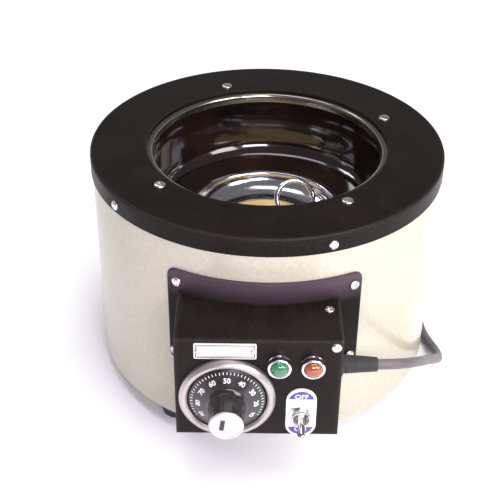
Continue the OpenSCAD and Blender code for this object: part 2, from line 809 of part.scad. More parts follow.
module motor_shaft() {
    in_frame() color("#b9bcc0") translate([0, 0, weight_low - 1])
        cylinder(r = shaft_r, h = motor_top - bell_t - 0.5 - weight_low + 1);
}

module rotor_core() {
    in_frame() color("#6b6e72") translate([0, 0, core_low + 0.3])
        ring(rotor_r, shaft_r, core_h - 0.6);
}

module eccentric_weight() {
    in_frame() color("#4a4c50") translate([0, 0, weight_low]) difference() {
        union() {
            cylinder(r = 10, h = weight_h);
            difference() {
                cylinder(r = weight_r, h = weight_h);
                translate([-40, -80, -1]) cube([80, 80, weight_h + 2]);
            }
        }
        translate([0, 0, -1]) cylinder(r = shaft_r, h = weight_h + 2);
        translate([0, 0, weight_h / 2]) rotate([90, 0, 0]) cylinder(r = 2, h = 20);
    }
}

// ---- Bowl ----

module bowl() {
    well_z = dish_floor - dish_t;
    rise = ledge_z - dish_t + 0.05;
    in_frame() color("#241a14") rotate_extrude() polygon(concat(
        [[4.2, well_z], [well_r + 0.6, well_z]],
        dip_arc(dish_foot_r, ledge_z, dish_r - dish_foot_r + dish_t + 0.05,
            ledge_z - pad_top + dish_t + 0.05, 0, 90, 10),
        [[dish_r + 4, ledge_z], [wall_foot_r, ledge_z + 2]],
        dip_arc(wall_foot_r, ledge_z + 2 + wall_fillet, wall_fillet, wall_fillet, 10, 90, 8),
        [[bowl_r, bowl_rim_z - 1]], arc(bowl_r + 1, bowl_rim_z - 1, 1, 180, 90, 4),
        arc(bowl_r + 2.2, bowl_rim_z - 1, 1, 90, 0, 4),
        [[bowl_r + 3.2, bowl_rim_z - 4], [bowl_r + bowl_t - 0.6, bowl_rim_z - 4.6]],
        dip_arc(wall_foot_r, ledge_z + 2 + wall_fillet, wall_fillet + bowl_t,
            wall_fillet + bowl_t, 90, 0, 8),
        [[dish_r + 6, ledge_z - bowl_t]],
        dip_arc(dish_foot_r, ledge_z, dish_r - dish_foot_r + dish_t + bowl_t,
            ledge_z - pad_top + dish_t + bowl_t, 80, 0, 8),
        [[well_r + 2.6, well_z - bowl_t], [4.2, well_z - bowl_t]]));
}

module clamp_dish() {
    in_frame() color("#c4c5c8") rotate_extrude() polygon(concat(
        [[4.2, dish_floor], [well_r - 0.6, dish_floor]],
        dip_arc(dish_foot_r, ledge_z, dish_r - dish_foot_r, ledge_z - pad_top, 0, 90, 12),
        [[dish_r + 0.4, ledge_z + 1], [dish_r + 3.4, ledge_z + 1], [dish_r + 3.4, ledge_z + 0.05]],
        dip_arc(dish_foot_r, ledge_z, dish_r - dish_foot_r + dish_t,
            ledge_z - pad_top + dish_t, 90, 0, 12),
        [[well_r + 0.5, dish_floor - dish_t + 0.02], [4.2, dish_floor - dish_t + 0.02]]));
}

module clamp_bolt() {
    in_frame() color("#b9bcc0") {
        translate([0, 0, dish_floor]) ring(8.5, 4.1, 1.4);
        translate([0, 0, dish_floor + 1.42]) union() {
            cylinder(d = 13 / cos(30), h = 4, $fn = 6);
            translate([0, 0, -16.5]) cylinder(r = 3.95, h = 17);
        }
        translate([0, 0, platform_under - 6.5]) nut(13, 4, 6.5);
    }
}

module floor_pad() {
    in_frame() color("#c98a3a") difference() {
        rotate_extrude() polygon([[0, dish_floor], [well_r - 0.9, dish_floor],
            [dish_foot_r - 0.4, pad_top], [0, pad_top]]);
        translate([0, 0, dish_floor - 1]) cylinder(r = 11, h = 7);
        translate([button_x, 0, dish_floor - 1]) cylinder(r = 4.02, h = 20);
        translate([button_x, 0, dish_floor - 1]) cylinder(r = 7, h = 3);
    }
}

module lift_button() {
    in_frame() color("#c79b3b") translate([button_x, 0, 0]) difference() {
        union() {
            translate([0, 0, pad_top + 0.02]) cylinder(r1 = button_r, r2 = button_r - 0.8, h = 1.4);
            translate([0, 0, dish_floor + 0.7]) cylinder(r = 4, h = pad_t);
            translate([0, 0, dish_floor + 0.6]) cylinder(r = 6.4, h = 1.4);
            translate([-2, -3.6, pad_top + 1]) cube([4, 7.2, 5]);
            translate([-2, 0, eye_z]) rotate([0, 90, 0]) cylinder(r = 3.6, h = 4);
            for (x = [-7, 5]) translate([x, 2.6, pad_top + 0.5]) cube([2, 1.8, 5.8]);
        }
        translate([-3, 0, eye_z]) rotate([0, 90, 0]) cylinder(r = ring_wire_r + 0.35, h = 6);
    }
}

module lift_ring() {
    in_frame() color("#d0d0d0") translate([button_x, 0, eye_z]) rotate([-ring_lean, 0, 0])
        translate([0, 0, ring_mean_r]) rotate([90, 0, 0]) rotate_extrude()
            translate([ring_mean_r, 0]) circle(r = ring_wire_r, $fn = 32);
}

drum_shell();
base_plate();
rubber_feet();
base_screws();
hex_nuts();
top_cover();
skirt_screws();
trim_ring();
trim_screws();
splash_seal();
saddle_plate();
saddle_screws();
box_frame();
box_cover();
box_screws();
nameplate();
nameplate_rivets();
dial_bezel();
regulator_body();
panel_nuts();
regulator_shaft();
control_knob();
knob_cap();
knob_screw();
lamp_bezels();
green_lens();
orange_lens();
lamp_bodies();
toggle_plate();
toggle_body();
toggle_lever();
terminal_block();
control_wiring();
wire_grommet();
cord_gland();
mains_cord();
cord_coil();
cord_tie();
mains_plug();
plug_pins();
spring_posts();
springs();
spring_cups();
spring_platform();
motor_top_bell();
motor_bottom_bell();
stator_core();
stator_windings();
bearings();
motor_screws();
motor_shaft();
rotor_core();
eccentric_weight();
bowl();
clamp_dish();
clamp_bolt();
floor_pad();
lift_button();
lift_ring();
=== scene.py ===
"""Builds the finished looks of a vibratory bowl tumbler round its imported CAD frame."""

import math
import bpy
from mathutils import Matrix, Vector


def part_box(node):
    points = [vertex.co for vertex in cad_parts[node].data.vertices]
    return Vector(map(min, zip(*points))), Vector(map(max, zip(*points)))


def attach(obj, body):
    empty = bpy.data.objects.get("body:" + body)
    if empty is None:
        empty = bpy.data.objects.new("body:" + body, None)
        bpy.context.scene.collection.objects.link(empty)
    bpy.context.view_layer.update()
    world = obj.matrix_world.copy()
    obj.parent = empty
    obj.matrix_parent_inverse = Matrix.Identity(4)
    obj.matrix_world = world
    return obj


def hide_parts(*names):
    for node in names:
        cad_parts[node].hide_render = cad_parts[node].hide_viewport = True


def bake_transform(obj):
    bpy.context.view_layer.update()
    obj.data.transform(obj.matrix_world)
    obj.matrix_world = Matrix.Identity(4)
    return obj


bl_info = {
    "name": "Vibratory Bowl Tumbler",
    "version": (1, 0, 0),
    "blender": (4, 5, 0),
    "location": "View3D > Sidebar > Tumbler",
    "description": "Builds the finished looks of a vibratory bowl tumbler round its CAD frame",
    "category": "Object",
}

import bmesh
import bpy
from bpy.props import FloatProperty, FloatVectorProperty, IntProperty, PointerProperty
from bpy.types import Operator, Panel, PropertyGroup
from mathutils import Matrix, Vector

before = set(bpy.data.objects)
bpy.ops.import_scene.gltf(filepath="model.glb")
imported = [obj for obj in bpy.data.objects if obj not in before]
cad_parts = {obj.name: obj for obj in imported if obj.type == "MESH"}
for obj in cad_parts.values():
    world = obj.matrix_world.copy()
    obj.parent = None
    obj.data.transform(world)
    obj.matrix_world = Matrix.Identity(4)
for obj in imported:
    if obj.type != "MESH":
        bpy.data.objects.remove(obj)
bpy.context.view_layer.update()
MM = 0.001
TURN = 2 * math.pi


# ---- Places, from the frame ----

def low(node):
    return Vector(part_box(node)[0])


def high(node):
    return Vector(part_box(node)[1])


def middle(node):
    return (low(node) + high(node)) / 2


AXIS = Vector((middle("drum_shell").x, middle("drum_shell").y, 0))
DRUM_R = (high("drum_shell").x - low("drum_shell").x) / 2 / MM
FOOT_H = low("drum_shell").z / MM
TOP_Z = high("top_cover").z / MM
PANEL_Y = low("box_cover").y
ON_AXIS = Matrix.Translation(AXIS)
SADDLE_R = DRUM_R + 2
SPRING_RING_R = 72
SPRING_ANGLES = (45, 135, 225, 315)
COVER_SCREW_R = 88
COVER_SCREW_ANGLES = (24, 109, 221, 303)
SADDLE_SCREWS = ((-117.5, 124), (-63.6, 124), (-118.9, 70), (-63.6, 70))
FOOT_RING_R = 100
FOOT_ANGLES = (-126, -6, 114)
DIAL_RING_H = 4.6
UPRIGHT = Matrix.Rotation(math.pi / 2, 4, "X")


def on_panel(node):
    """Local z points out of the front panel and local y is up, over the middle of a node."""
    at = middle(node)
    return Matrix.Translation((at.x, PANEL_Y, at.z)) @ UPRIGHT


def from_axis(point):
    """A point given in millimetres from the drum's axis and the floor, in metres."""
    return AXIS + Vector(point) * MM


# ---- Mesh making, in millimetres ----

def soften(points, radius, steps=4, loop=True):
    """Rounds the corners of an outline; a point's third number overrides its radius."""
    rounded = []
    for i, point in enumerate(points):
        corner = Vector(point[:2])
        if not loop and i in (0, len(points) - 1):
            rounded.append(corner)
            continue
        before = Vector(points[i - 1][:2]) - corner
        after = Vector(points[(i + 1) % len(points)][:2]) - corner
        bend = before.angle(after, math.pi)
        wanted = (point[2] if len(point) > 2 else radius) / math.tan(max(bend, 0.05) / 2)
        reach = min(wanted, 0.48 * before.length, 0.48 * after.length)
        if reach < 1e-4:
            rounded.append(corner)
            continue
        start = corner + before.normalized() * reach
        end = corner + after.normalized() * reach
        for k in range(steps + 1):
            t = k / steps
            rounded.append(start * (1 - t) ** 2 + corner * 2 * t * (1 - t) + end * t * t)
    return rounded


def dip(r0, z0, a, b, start, end, steps=14):
    """Points on an elliptic arc: angle 0 lies under its centre, 90 beside it."""
    angles = [math.radians(start + (end - start) * k / steps) for k in range(steps + 1)]
    return [(r0 + a * math.sin(t), z0 - b * math.cos(t)) for t in angles]


def add_lathe(bm, outline, turns=160, ring=False, at=Matrix(), wave=None):
    """A solid of revolution about local z, from (radius, height) points."""
    rows = []
    for r, z in outline:
        if r < 1e-4:
            rows.append([bm.verts.new(at @ Vector((0, 0, z)))])
            continue
        row = []
        for k in range(turns):
            angle = TURN * k / turns
            reach = r * wave(angle, z) if wave else r
            row.append(bm.verts.new(at @ Vector((reach * math.cos(angle), reach * math.sin(angle), z))))
        rows.append(row)
    pairs = list(zip(rows, rows[1:]))
    if ring:
        pairs.append((rows[-1], rows[0]))
    for under, over in pairs:
        for k in range(turns):
            corners = [under[k % len(under)], under[(k + 1) % len(under)],
                       over[(k + 1) % len(over)], over[k % len(over)]]
            corners = list(dict.fromkeys(corners))
            if len(corners) > 2:
                bm.faces.new(corners)


def add_block(bm, size, centre, bevel=0.3, at=Matrix(), segments=2):
    """A box with rounded edges."""
    matrix = at @ Matrix.Translation(centre) @ Matrix.Diagonal((*size, 1))
    made = bmesh.ops.create_cube(bm, size=1, matrix=matrix)
    edges = {edge for vert in made["verts"] for edge in vert.link_edges}
    bmesh.ops.bevel(bm, geom=list(edges), offset=bevel, segments=segments, affect="EDGES", profile=0.5)


def round_rect(w, h, r, steps=8):
    """An anticlockwise rectangle with round corners, about the origin."""
    points = []
    for cx, cy, start in ((1, 1, 0), (-1, 1, 90), (-1, -1, 180), (1, -1, 270)):
        for k in range(steps + 1):
            angle = math.radians(start + 90 * k / steps)
            points.append((cx * (w / 2 - r) + r * math.cos(angle), cy * (h / 2 - r) + r * math.sin(angle)))
    return points


def inset(outline, distance):
    """An anticlockwise outline moved inwards."""
    moved = []
    for i, point in enumerate(outline):
        point = Vector(point)
        along = (point - Vector(outline[i - 1])).normalized()
        onward = (Vector(outline[(i + 1) % len(outline)]) - point).normalized()
        across = Vector((-along.y - onward.y, along.x + onward.x))
        moved.append(point + across * distance / max(1 + along.dot(onward), 0.2))
    return moved


def join_rows(bm, rows, around=True):
    """Faces between equal closed rows of corners, and from the last row to the first if around."""
    for under, over in zip(rows, rows[1:] + (rows[:1] if around else [])):
        for k in range(len(under)):
            n = (k + 1) % len(under)
            bm.faces.new((under[k], under[n], over[n], over[k]))


def add_rows(bm, rows):
    """Joins equal closed rows of points with faces, and closes both ends."""
    made = [[bm.verts.new(point) for point in row] for row in rows]
    join_rows(bm, made, False)
    bm.faces.new(list(reversed(made[0])))
    bm.faces.new(made[-1])


def add_ribs(bm, at, **sizes):
    """A row of round ribs in black rubber, along local z of a place in millimetres."""
    ribs = grown("Ribs", {**sizes, "Finish": finish_named("black_rubber")})
    ribs.transform(Matrix.Scale(1000, 4))
    ribs.transform(at)
    bm.from_mesh(ribs)
    bpy.data.meshes.remove(ribs)


def add_prism(bm, outline, bottom, top, edge=0.2, at=Matrix()):
    """A flat plate of an outline's shape, its upper edge eased."""
    levels = [(0, bottom), (0, top - edge), (edge * 0.3, top - edge * 0.3), (edge, top)]
    add_rows(bm, [[at @ Vector((*p, z)) for p in (inset(outline, d) if d else outline)]
                  for d, z in levels])


def along_path(path, closed=False):
    """Directions and side vectors along a path, turned as little as possible."""
    count = len(path)
    headings = []
    for i in range(count):
        ahead = path[(i + 1) % count] if closed or i < count - 1 else path[i]
        behind = path[i - 1] if closed or i > 0 else path[i]
        headings.append((ahead - behind).normalized())
    side = headings[0].cross(Vector((0, 0, 1)))
    if side.length < 0.1:
        side = headings[0].cross(Vector((0, 1, 0)))
    sides = []
    for heading in headings:
        side = (side - heading * side.dot(heading)).normalized()
        sides.append(side.copy())
    return headings, sides


def add_tube(bm, path, radius, sides=16):
    """A round tube along a path, both ends closed; radius is one number or one for each point."""
    path = [Vector(p) for p in path]
    radii = radius if hasattr(radius, "__len__") else [radius] * len(path)
    headings, across = along_path(path)
    rows = []
    for point, heading, side, r in zip(path, headings, across, radii):
        other = heading.cross(side)
        rows.append([point + r * (side * math.cos(TURN * k / sides) + other * math.sin(TURN * k / sides))
                     for k in range(sides)])
    add_rows(bm, rows)


def add_nut(bm, across, bore, bottom, top, at=Matrix()):
    """A chamfered hexagon nut"""
    corner = across / math.sqrt(3)
    rows = []
    for z, r in ((bottom, corner * 0.95), (bottom + 0.25, corner), (top - 0.3, corner),
                 (top, corner * 0.93)):
        row = []
        for k in range(48):
            angle = TURN * k / 48
            six = math.cos(math.pi / 6) / math.cos((angle % (math.pi / 3)) - math.pi / 6)
            reach = min(r, corner * six)
            row.append(at @ Vector((reach * math.cos(angle), reach * math.sin(angle), z)))
        rows.append(row)
    for z in (top, bottom):
        rows.append([at @ Vector((bore * math.cos(TURN * k / 48), bore * math.sin(TURN * k / 48), z))
                     for k in range(48)])
    made = [[bm.verts.new(p) for p in row] for row in rows]
    join_rows(bm, made)


def add_words(bm, words, size, depth, at):
    """Raised lettering, in the program's own plain typeface."""
    curve = bpy.data.curves.new("lettering", "FONT")
    curve.body = words
    curve.size = size
    curve.extrude = depth / 2
    curve.offset = size * 0.012
    curve.resolution_u = 4
    curve.align_x = "CENTER"
    curve.align_y = "CENTER"
    holder = bpy.data.objects.new("lettering", curve)
    bpy.context.scene.collection.objects.link(holder)
    depsgraph = bpy.context.evaluated_depsgraph_get()
    mesh = bpy.data.meshes.new_from_object(holder.evaluated_get(depsgraph))
    mesh.transform(at)
    bm.from_mesh(mesh)
    bmesh.ops.remove_doubles(bm, verts=bm.verts, dist=1e-4)
    bpy.data.objects.remove(holder)
    bpy.data.curves.remove(curve)
    bpy.data.meshes.remove(mesh)


def show(name, mesh, finish, body, stands_for=(), sharp=35):
    """Shades a mesh and sets it on its body, in the place of the CAD nodes it stands for.

    A spring's body is a tuple instead: its two bodies, and the points where each takes over. It is not
    used: such a piece is set on no body, only its place baked in."""
    mesh.name = name
    mesh.materials.clear()
    mesh.materials.append(finish_named(finish))
    mesh.polygons.foreach_set("use_smooth", [True] * len(mesh.polygons))
    mesh.set_sharp_from_angle(angle=math.radians(sharp))
    piece = bpy.data.objects.new(name, mesh)
    bpy.context.scene.collection.objects.link(piece)
    if isinstance(body, str):
        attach(piece, body)
    else:
        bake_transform(piece)
    if stands_for:
        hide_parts(*stands_for)
    return piece


def finished(name, bm, finish, body, stands_for=(), place=ON_AXIS, sharp=35):
    """Turns a bmesh in millimetres into a piece in its place."""
    bmesh.ops.recalc_face_normals(bm, faces=bm.faces)
    bmesh.ops.transform(bm, matrix=place @ Matrix.Scale(MM, 4), verts=bm.verts)
    mesh = bpy.data.meshes.new(name)
    bm.to_mesh(mesh)
    bm.free()
    return show(name, mesh, finish, body, stands_for, sharp)


def turned(name, outline, finish, body, stands_for=(), place=ON_AXIS, ring=False, turns=160):
    """A piece that is one solid of revolution."""
    bm = bmesh.new()
    add_lathe(bm, outline, turns, ring)
    return finished(name, bm, finish, body, stands_for, place)


# ---- Shader groups ----

def new_node(tree, kind, inputs=None, **settings):
    made = tree.nodes.new(kind)
    for key, value in settings.items():
        setattr(made, key, value)
    for key, value in (inputs or {}).items():
        made.inputs[key].default_value = value
    return made


def new_group(name, ins, outs):
    """An empty shader group with its named sockets, and its input and output nodes."""
    tree = bpy.data.node_groups.new(name, "ShaderNodeTree")
    for label, kind, value in ins:
        made = tree.interface.new_socket(label, in_out="INPUT", socket_type=kind)
        if value is not None:
            made.default_value = value
    for label, kind in outs:
        tree.interface.new_socket(label, in_out="OUTPUT", socket_type=kind)
    return tree, tree.nodes.new("NodeGroupInput"), tree.nodes.new("NodeGroupOutput")


def surface_grain():
    """Fine grain, broad clouds and sparse specks, for any finish."""
    tree, given, out = new_group(
        "Surface Grain",
        [("Vector", "NodeSocketVector", None), ("Grain", "NodeSocketFloat", 900.0),
         ("Clouds", "NodeSocketFloat", 25.0), ("Speck Level", "NodeSocketFloat", 0.7)],
        [("Fine", "NodeSocketFloat"), ("Broad", "NodeSocketFloat"), ("Specks", "NodeSocketFloat")])
    link = tree.links.new
    fine = new_node(tree, "ShaderNodeTexNoise", {"Detail": 4.0, "Roughness": 0.6})
    broad = new_node(tree, "ShaderNodeTexNoise", {"Detail": 5.0, "Roughness": 0.55, "Distortion": 0.4})
    specks = new_node(tree, "ShaderNodeTexNoise", {"Detail": 2.0, "Scale": 700.0})
    level = new_node(tree, "ShaderNodeMapRange", {"To Min": 0.0, "To Max": 1.0})
    above = new_node(tree, "ShaderNodeMath", {1: 0.06}, operation="ADD")
    for noise in (fine, broad, specks):
        link(given.outputs["Vector"], noise.inputs["Vector"])
    link(given.outputs["Grain"], fine.inputs["Scale"])
    link(given.outputs["Clouds"], broad.inputs["Scale"])
    link(given.outputs["Speck Level"], level.inputs["From Min"])
    link(given.outputs["Speck Level"], above.inputs[0])
    link(above.outputs[0], level.inputs["From Max"])
    link(specks.outputs["Fac"], level.inputs["Value"])
    link(fine.outputs["Fac"], out.inputs["Fine"])
    link(broad.outputs["Fac"], out.inputs["Broad"])
    link(level.outputs["Result"], out.inputs["Specks"])
    return tree


def worn_edges():
    """A mask of the raised edges, broken up by grain."""
    tree, given, out = new_group(
        "Worn Edges",
        [("Grain", "NodeSocketFloat", 0.5), ("Reach", "NodeSocketFloat", 0.56)],
        [("Mask", "NodeSocketFloat")])
    link = tree.links.new
    shape = tree.nodes.new("ShaderNodeNewGeometry")
    spread = new_node(tree, "ShaderNodeMath", {1: 0.12}, operation="MULTIPLY_ADD")
    level = new_node(tree, "ShaderNodeMapRange", {"To Min": 0.0, "To Max": 1.0})
    above = new_node(tree, "ShaderNodeMath", {1: 0.1}, operation="ADD")
    link(given.outputs["Grain"], spread.inputs[0])
    link(shape.outputs["Pointiness"], spread.inputs[2])
    link(spread.outputs[0], level.inputs["Value"])
    link(given.outputs["Reach"], level.inputs["From Min"])
    link(given.outputs["Reach"], above.inputs[0])
    link(above.outputs[0], level.inputs["From Max"])
    link(level.outputs["Result"], out.inputs["Mask"])
    return tree


GROUPS = {}


def group_named(name):
    if name not in GROUPS:
        GROUPS[name] = {"Surface Grain": surface_grain, "Worn Edges": worn_edges}[name]()
    return GROUPS[name]


# ---- Finishes ----

# Each finish: base and second colour, how much the second shows, roughness and how far it varies,
# metal, clear coat, grain size and its depth, size of the clouds, and the stretch of the grain.
FINISHES = {
    "cream_enamel": dict(base=(0.50, 0.46, 0.35), tint=(0.43, 0.395, 0.275), rough=0.30, coat=0.5,
                         grain=420, depth=0.015, clouds=9, wear=(0.68, 0.65, 0.57)),
    "black_powder": dict(base=(0.006, 0.0042, 0.003), tint=(0.012, 0.008, 0.0055), rough=0.34,
                         swing=0.12, shine=0.1, grain=1500, depth=0.10, clouds=30, specks=0.35,
                         wear=(0.06, 0.05, 0.045)),
    "polished_steel": dict(base=(0.80, 0.79, 0.80), tint=(0.62, 0.60, 0.62), metal=1, rough=0.10,
                           swing=0.10, grain=160, depth=0.01, clouds=40, stretch=(1, 1, 9)),
    "rim_steel": dict(base=(0.42, 0.40, 0.33), tint=(0.28, 0.26, 0.20), metal=1, rough=0.16,
                      swing=0.10, grain=160, depth=0.01, clouds=40, stretch=(1, 1, 9)),
    "satin_ring": dict(base=(0.48, 0.44, 0.42), tint=(0.40, 0.36, 0.34), metal=0.8, rough=0.30,
                       swing=0.10, grain=500, depth=0.01, clouds=60),
    "chrome": dict(base=(0.84, 0.84, 0.85), tint=(0.74, 0.74, 0.76), metal=1, rough=0.07,
                   swing=0.06, grain=500, depth=0.004, clouds=60),
    "nickel": dict(base=(0.80, 0.79, 0.77), tint=(0.55, 0.53, 0.50), metal=1, rough=0.24,
                   swing=0.14, grain=1400, depth=0.03, clouds=300),
    "zinc_plate": dict(base=(0.56, 0.57, 0.58), tint=(0.44, 0.45, 0.42), metal=1, rough=0.38,
                       swing=0.15, grain=700, depth=0.03, clouds=120),
    "brushed_plate": dict(base=(0.72, 0.68, 0.64), tint=(0.62, 0.58, 0.54), metal=0.35, rough=0.36,
                          swing=0.16, grain=260, depth=0.03, clouds=60, stretch=(1, 14, 14)),
    "bowl_resin": dict(base=(0.006, 0.004, 0.0035), tint=(0.018, 0.008, 0.004), rough=0.06,
                       swing=0.08, coat=1.0, grain=90, depth=0.02, clouds=14, tint_share=0.9),
    "amber_resin": dict(base=(0.74, 0.47, 0.18), tint=(0.82, 0.62, 0.32), rough=0.28, swing=0.16,
                        coat=0.5, grain=350, depth=0.03, clouds=50, tint_share=0.8, glow=0.12),
    "brass": dict(base=(0.78, 0.56, 0.20), tint=(0.55, 0.36, 0.12), metal=1, rough=0.22, swing=0.14,
                  grain=900, depth=0.02, clouds=180),
    "knob_resin": dict(base=(0.012, 0.010, 0.010), tint=(0.022, 0.018, 0.017), rough=0.20,
                       swing=0.08, coat=0.4, grain=1200, depth=0.02, clouds=80,
                       wear=(0.05, 0.045, 0.045)),
    "cap_metal": dict(base=(0.57, 0.55, 0.54), tint=(0.48, 0.46, 0.45), metal=0.4, rough=0.30,
                      swing=0.10, grain=900, depth=0.02, clouds=160),
    "white_print": dict(base=(0.86, 0.85, 0.86), tint=(0.76, 0.75, 0.78), rough=0.45,
                        grain=1500, depth=0.02, clouds=300),
    "blue_print": dict(base=(0.07, 0.06, 0.30), tint=(0.11, 0.09, 0.38), rough=0.40,
                       grain=1500, depth=0.02, clouds=300),
    "black_print": dict(base=(0.02, 0.018, 0.018), tint=(0.04, 0.036, 0.036), rough=0.5,
                        grain=1500, depth=0.02, clouds=300),
    "green_lens": dict(base=(0.03, 0.22, 0.09), tint=(0.06, 0.30, 0.14), rough=0.12, coat=1.0,
                       grain=600, depth=0.01, clouds=200, clear=0.35),
    "orange_lens": dict(base=(0.42, 0.075, 0.02), tint=(0.55, 0.13, 0.04), rough=0.12, coat=1.0,
                        grain=600, depth=0.01, clouds=200, clear=0.35),
    "black_rubber": dict(base=(0.022, 0.021, 0.022), tint=(0.05, 0.048, 0.046), rough=0.62,
                         swing=0.16, grain=1300, depth=0.10, clouds=90, specks=0.3),
    "lead_rubber": dict(base=(0.11, 0.095, 0.10), tint=(0.15, 0.13, 0.135), rough=0.40,
                        swing=0.14, grain=1100, depth=0.06, clouds=70),
    "strap_weave": dict(base=(0.03, 0.03, 0.032), tint=(0.07, 0.07, 0.074), rough=0.85, grain=2200,
                        depth=0.35, clouds=500, sheen=0.4),
    "cream_plastic": dict(base=(0.78, 0.74, 0.62), tint=(0.68, 0.63, 0.50), rough=0.45, grain=1100,
                          depth=0.04, clouds=90),
    "brown_phenolic": dict(base=(0.22, 0.07, 0.03), tint=(0.12, 0.035, 0.018), rough=0.35,
                           grain=1500, depth=0.03, clouds=400, tint_share=0.8),
    "blue_wire": dict(base=(0.05, 0.13, 0.40), tint=(0.03, 0.09, 0.30), rough=0.42, grain=900,
                      depth=0.03, clouds=120),
    "cast_aluminium": dict(base=(0.62, 0.63, 0.64), tint=(0.48, 0.49, 0.50), metal=1, rough=0.48,
                           swing=0.15, grain=800, depth=0.20, clouds=90),
    "laminations": dict(base=(0.33, 0.34, 0.36), tint=(0.18, 0.18, 0.19), metal=1, rough=0.42,
                        swing=0.2, grain=60, depth=0.25, clouds=80, stretch=(0.4, 0.4, 30)),
    "copper_turns": dict(base=(0.72, 0.32, 0.12), tint=(0.42, 0.15, 0.05), metal=1, rough=0.30,
                         swing=0.18, grain=70, depth=0.3, clouds=120, stretch=(0.5, 0.5, 24)),
    "ground_steel": dict(base=(0.66, 0.67, 0.69), tint=(0.50, 0.51, 0.53), metal=1, rough=0.24,
                         swing=0.14, grain=260, depth=0.03, clouds=90, stretch=(1, 1, 12)),
    "spring_wire": dict(base=(0.58, 0.59, 0.62), tint=(0.36, 0.37, 0.40), metal=1, rough=0.30,
                        swing=0.14, grain=900, depth=0.03, clouds=140),
    "cast_iron": dict(base=(0.16, 0.16, 0.17), tint=(0.08, 0.075, 0.072), metal=0.8, rough=0.62,
                      swing=0.2, grain=650, depth=0.4, clouds=80),
}
# The saddle's black paint isn't worn; instead a painted reflection turns it mauve-grey upwards: from this
# height to that, to this colour
FINISHES["powder_painted_reflection"] = {**FINISHES["black_powder"], "wear": None,
                            "painted_reflection": (0.113, 0.128, (0.075, 0.052, 0.066))}


def make_finish(name, base, tint, rough, metal=0, swing=0.08, coat=0.0, grain=800, depth=0.05,
                clouds=50, stretch=(1, 1, 1), tint_share=0.6, specks=0.0, wear=None, clear=0.0,
                sheen=0.0, glow=0.0, shine=0.5, painted_reflection=None):
    """A finish from grain, clouds and specks; what is the same all over sits on the shader itself."""
    material = bpy.data.materials.new(name)
    material.use_nodes = True
    material.diffuse_color = (*base, 1)
    tree = material.node_tree
    shader = tree.nodes["Principled BSDF"]
    link = tree.links.new
    for key, value in {"Metallic": metal, "Coat Weight": coat, "Coat Roughness": 0.06,
                       "Transmission Weight": clear, "Sheen Weight": sheen,
                       "Subsurface Weight": glow, "Specular IOR Level": shine}.items():
        shader.inputs[key].default_value = value
    place = new_node(tree, "ShaderNodeTexCoord")
    mapping = new_node(tree, "ShaderNodeMapping", {"Scale": stretch})
    surface = new_node(tree, "ShaderNodeGroup", node_tree=group_named("Surface Grain"))
    surface.inputs["Grain"].default_value = grain
    surface.inputs["Clouds"].default_value = clouds
    link(place.outputs["Object"], mapping.inputs["Vector"])
    link(mapping.outputs["Vector"], surface.inputs["Vector"])
    share = new_node(tree, "ShaderNodeMapRange",
                     {"From Min": 0.42, "From Max": 0.66, "To Min": 0.0, "To Max": tint_share})
    link(surface.outputs["Broad"], share.inputs["Value"])
    colour = new_node(tree, "ShaderNodeMix", data_type="RGBA")
    colour.inputs["A"].default_value = (*base, 1)
    colour.inputs["B"].default_value = (*tint, 1)
    link(share.outputs["Result"], colour.inputs["Factor"])
    result = colour.outputs["Result"]
    if specks:
        dust = new_node(tree, "ShaderNodeMix", data_type="RGBA")
        dust.inputs["B"].default_value = tuple(min(1, c * 2.5 + 0.02) for c in tint) + (1,)
        amount = new_node(tree, "ShaderNodeMath", {1: specks}, operation="MULTIPLY")
        link(surface.outputs["Specks"], amount.inputs[0])
        link(amount.outputs[0], dust.inputs["Factor"])
        link(result, dust.inputs["A"])
        result = dust.outputs["Result"]
    if wear:
        edges = new_node(tree, "ShaderNodeGroup", node_tree=group_named("Worn Edges"))
        link(surface.outputs["Fine"], edges.inputs["Grain"])
        rubbed = new_node(tree, "ShaderNodeMix", data_type="RGBA")
        rubbed.inputs["B"].default_value = (*wear, 1)
        link(edges.outputs["Mask"], rubbed.inputs["Factor"])
        link(result, rubbed.inputs["A"])
        result = rubbed.outputs["Result"]
    # Painted reflection: the colour turns mauve-grey upwards, between two heights in object z
    if painted_reflection:
        apart = new_node(tree, "ShaderNodeSeparateXYZ")
        level = new_node(tree, "ShaderNodeMapRange",
                         {"From Min": painted_reflection[0], "From Max": painted_reflection[1], "To Min": 0.0, "To Max": 1.0})
        reflection_mix = new_node(tree, "ShaderNodeMix", data_type="RGBA")
        reflection_mix.inputs["B"].default_value = (*painted_reflection[2], 1)
        link(place.outputs["Object"], apart.inputs[0])
        link(apart.outputs["Z"], level.inputs["Value"])
        link(level.outputs["Result"], reflection_mix.inputs["Factor"])
        link(result, reflection_mix.inputs["A"])
        result = reflection_mix.outputs["Result"]
    link(result, shader.inputs["Base Color"])
    dull = new_node(tree, "ShaderNodeMapRange",
                    {"From Min": 0.35, "From Max": 0.68, "To Min": rough, "To Max": rough + swing})
    link(surface.outputs["Broad"], dull.inputs["Value"])
    link(dull.outputs["Result"], shader.inputs["Roughness"])
    bump = new_node(tree, "ShaderNodeBump", {"Strength": min(1.0, depth * 2), "Distance": 0.0003 * depth})
    link(surface.outputs["Fine"], bump.inputs["Height"])
    link(bump.outputs["Normal"], shader.inputs["Normal"])
    return material


MADE = {}


def finish_named(name):
    if name not in MADE:
        MADE[name] = make_finish(name, **FINISHES[name])
    return MADE[name]


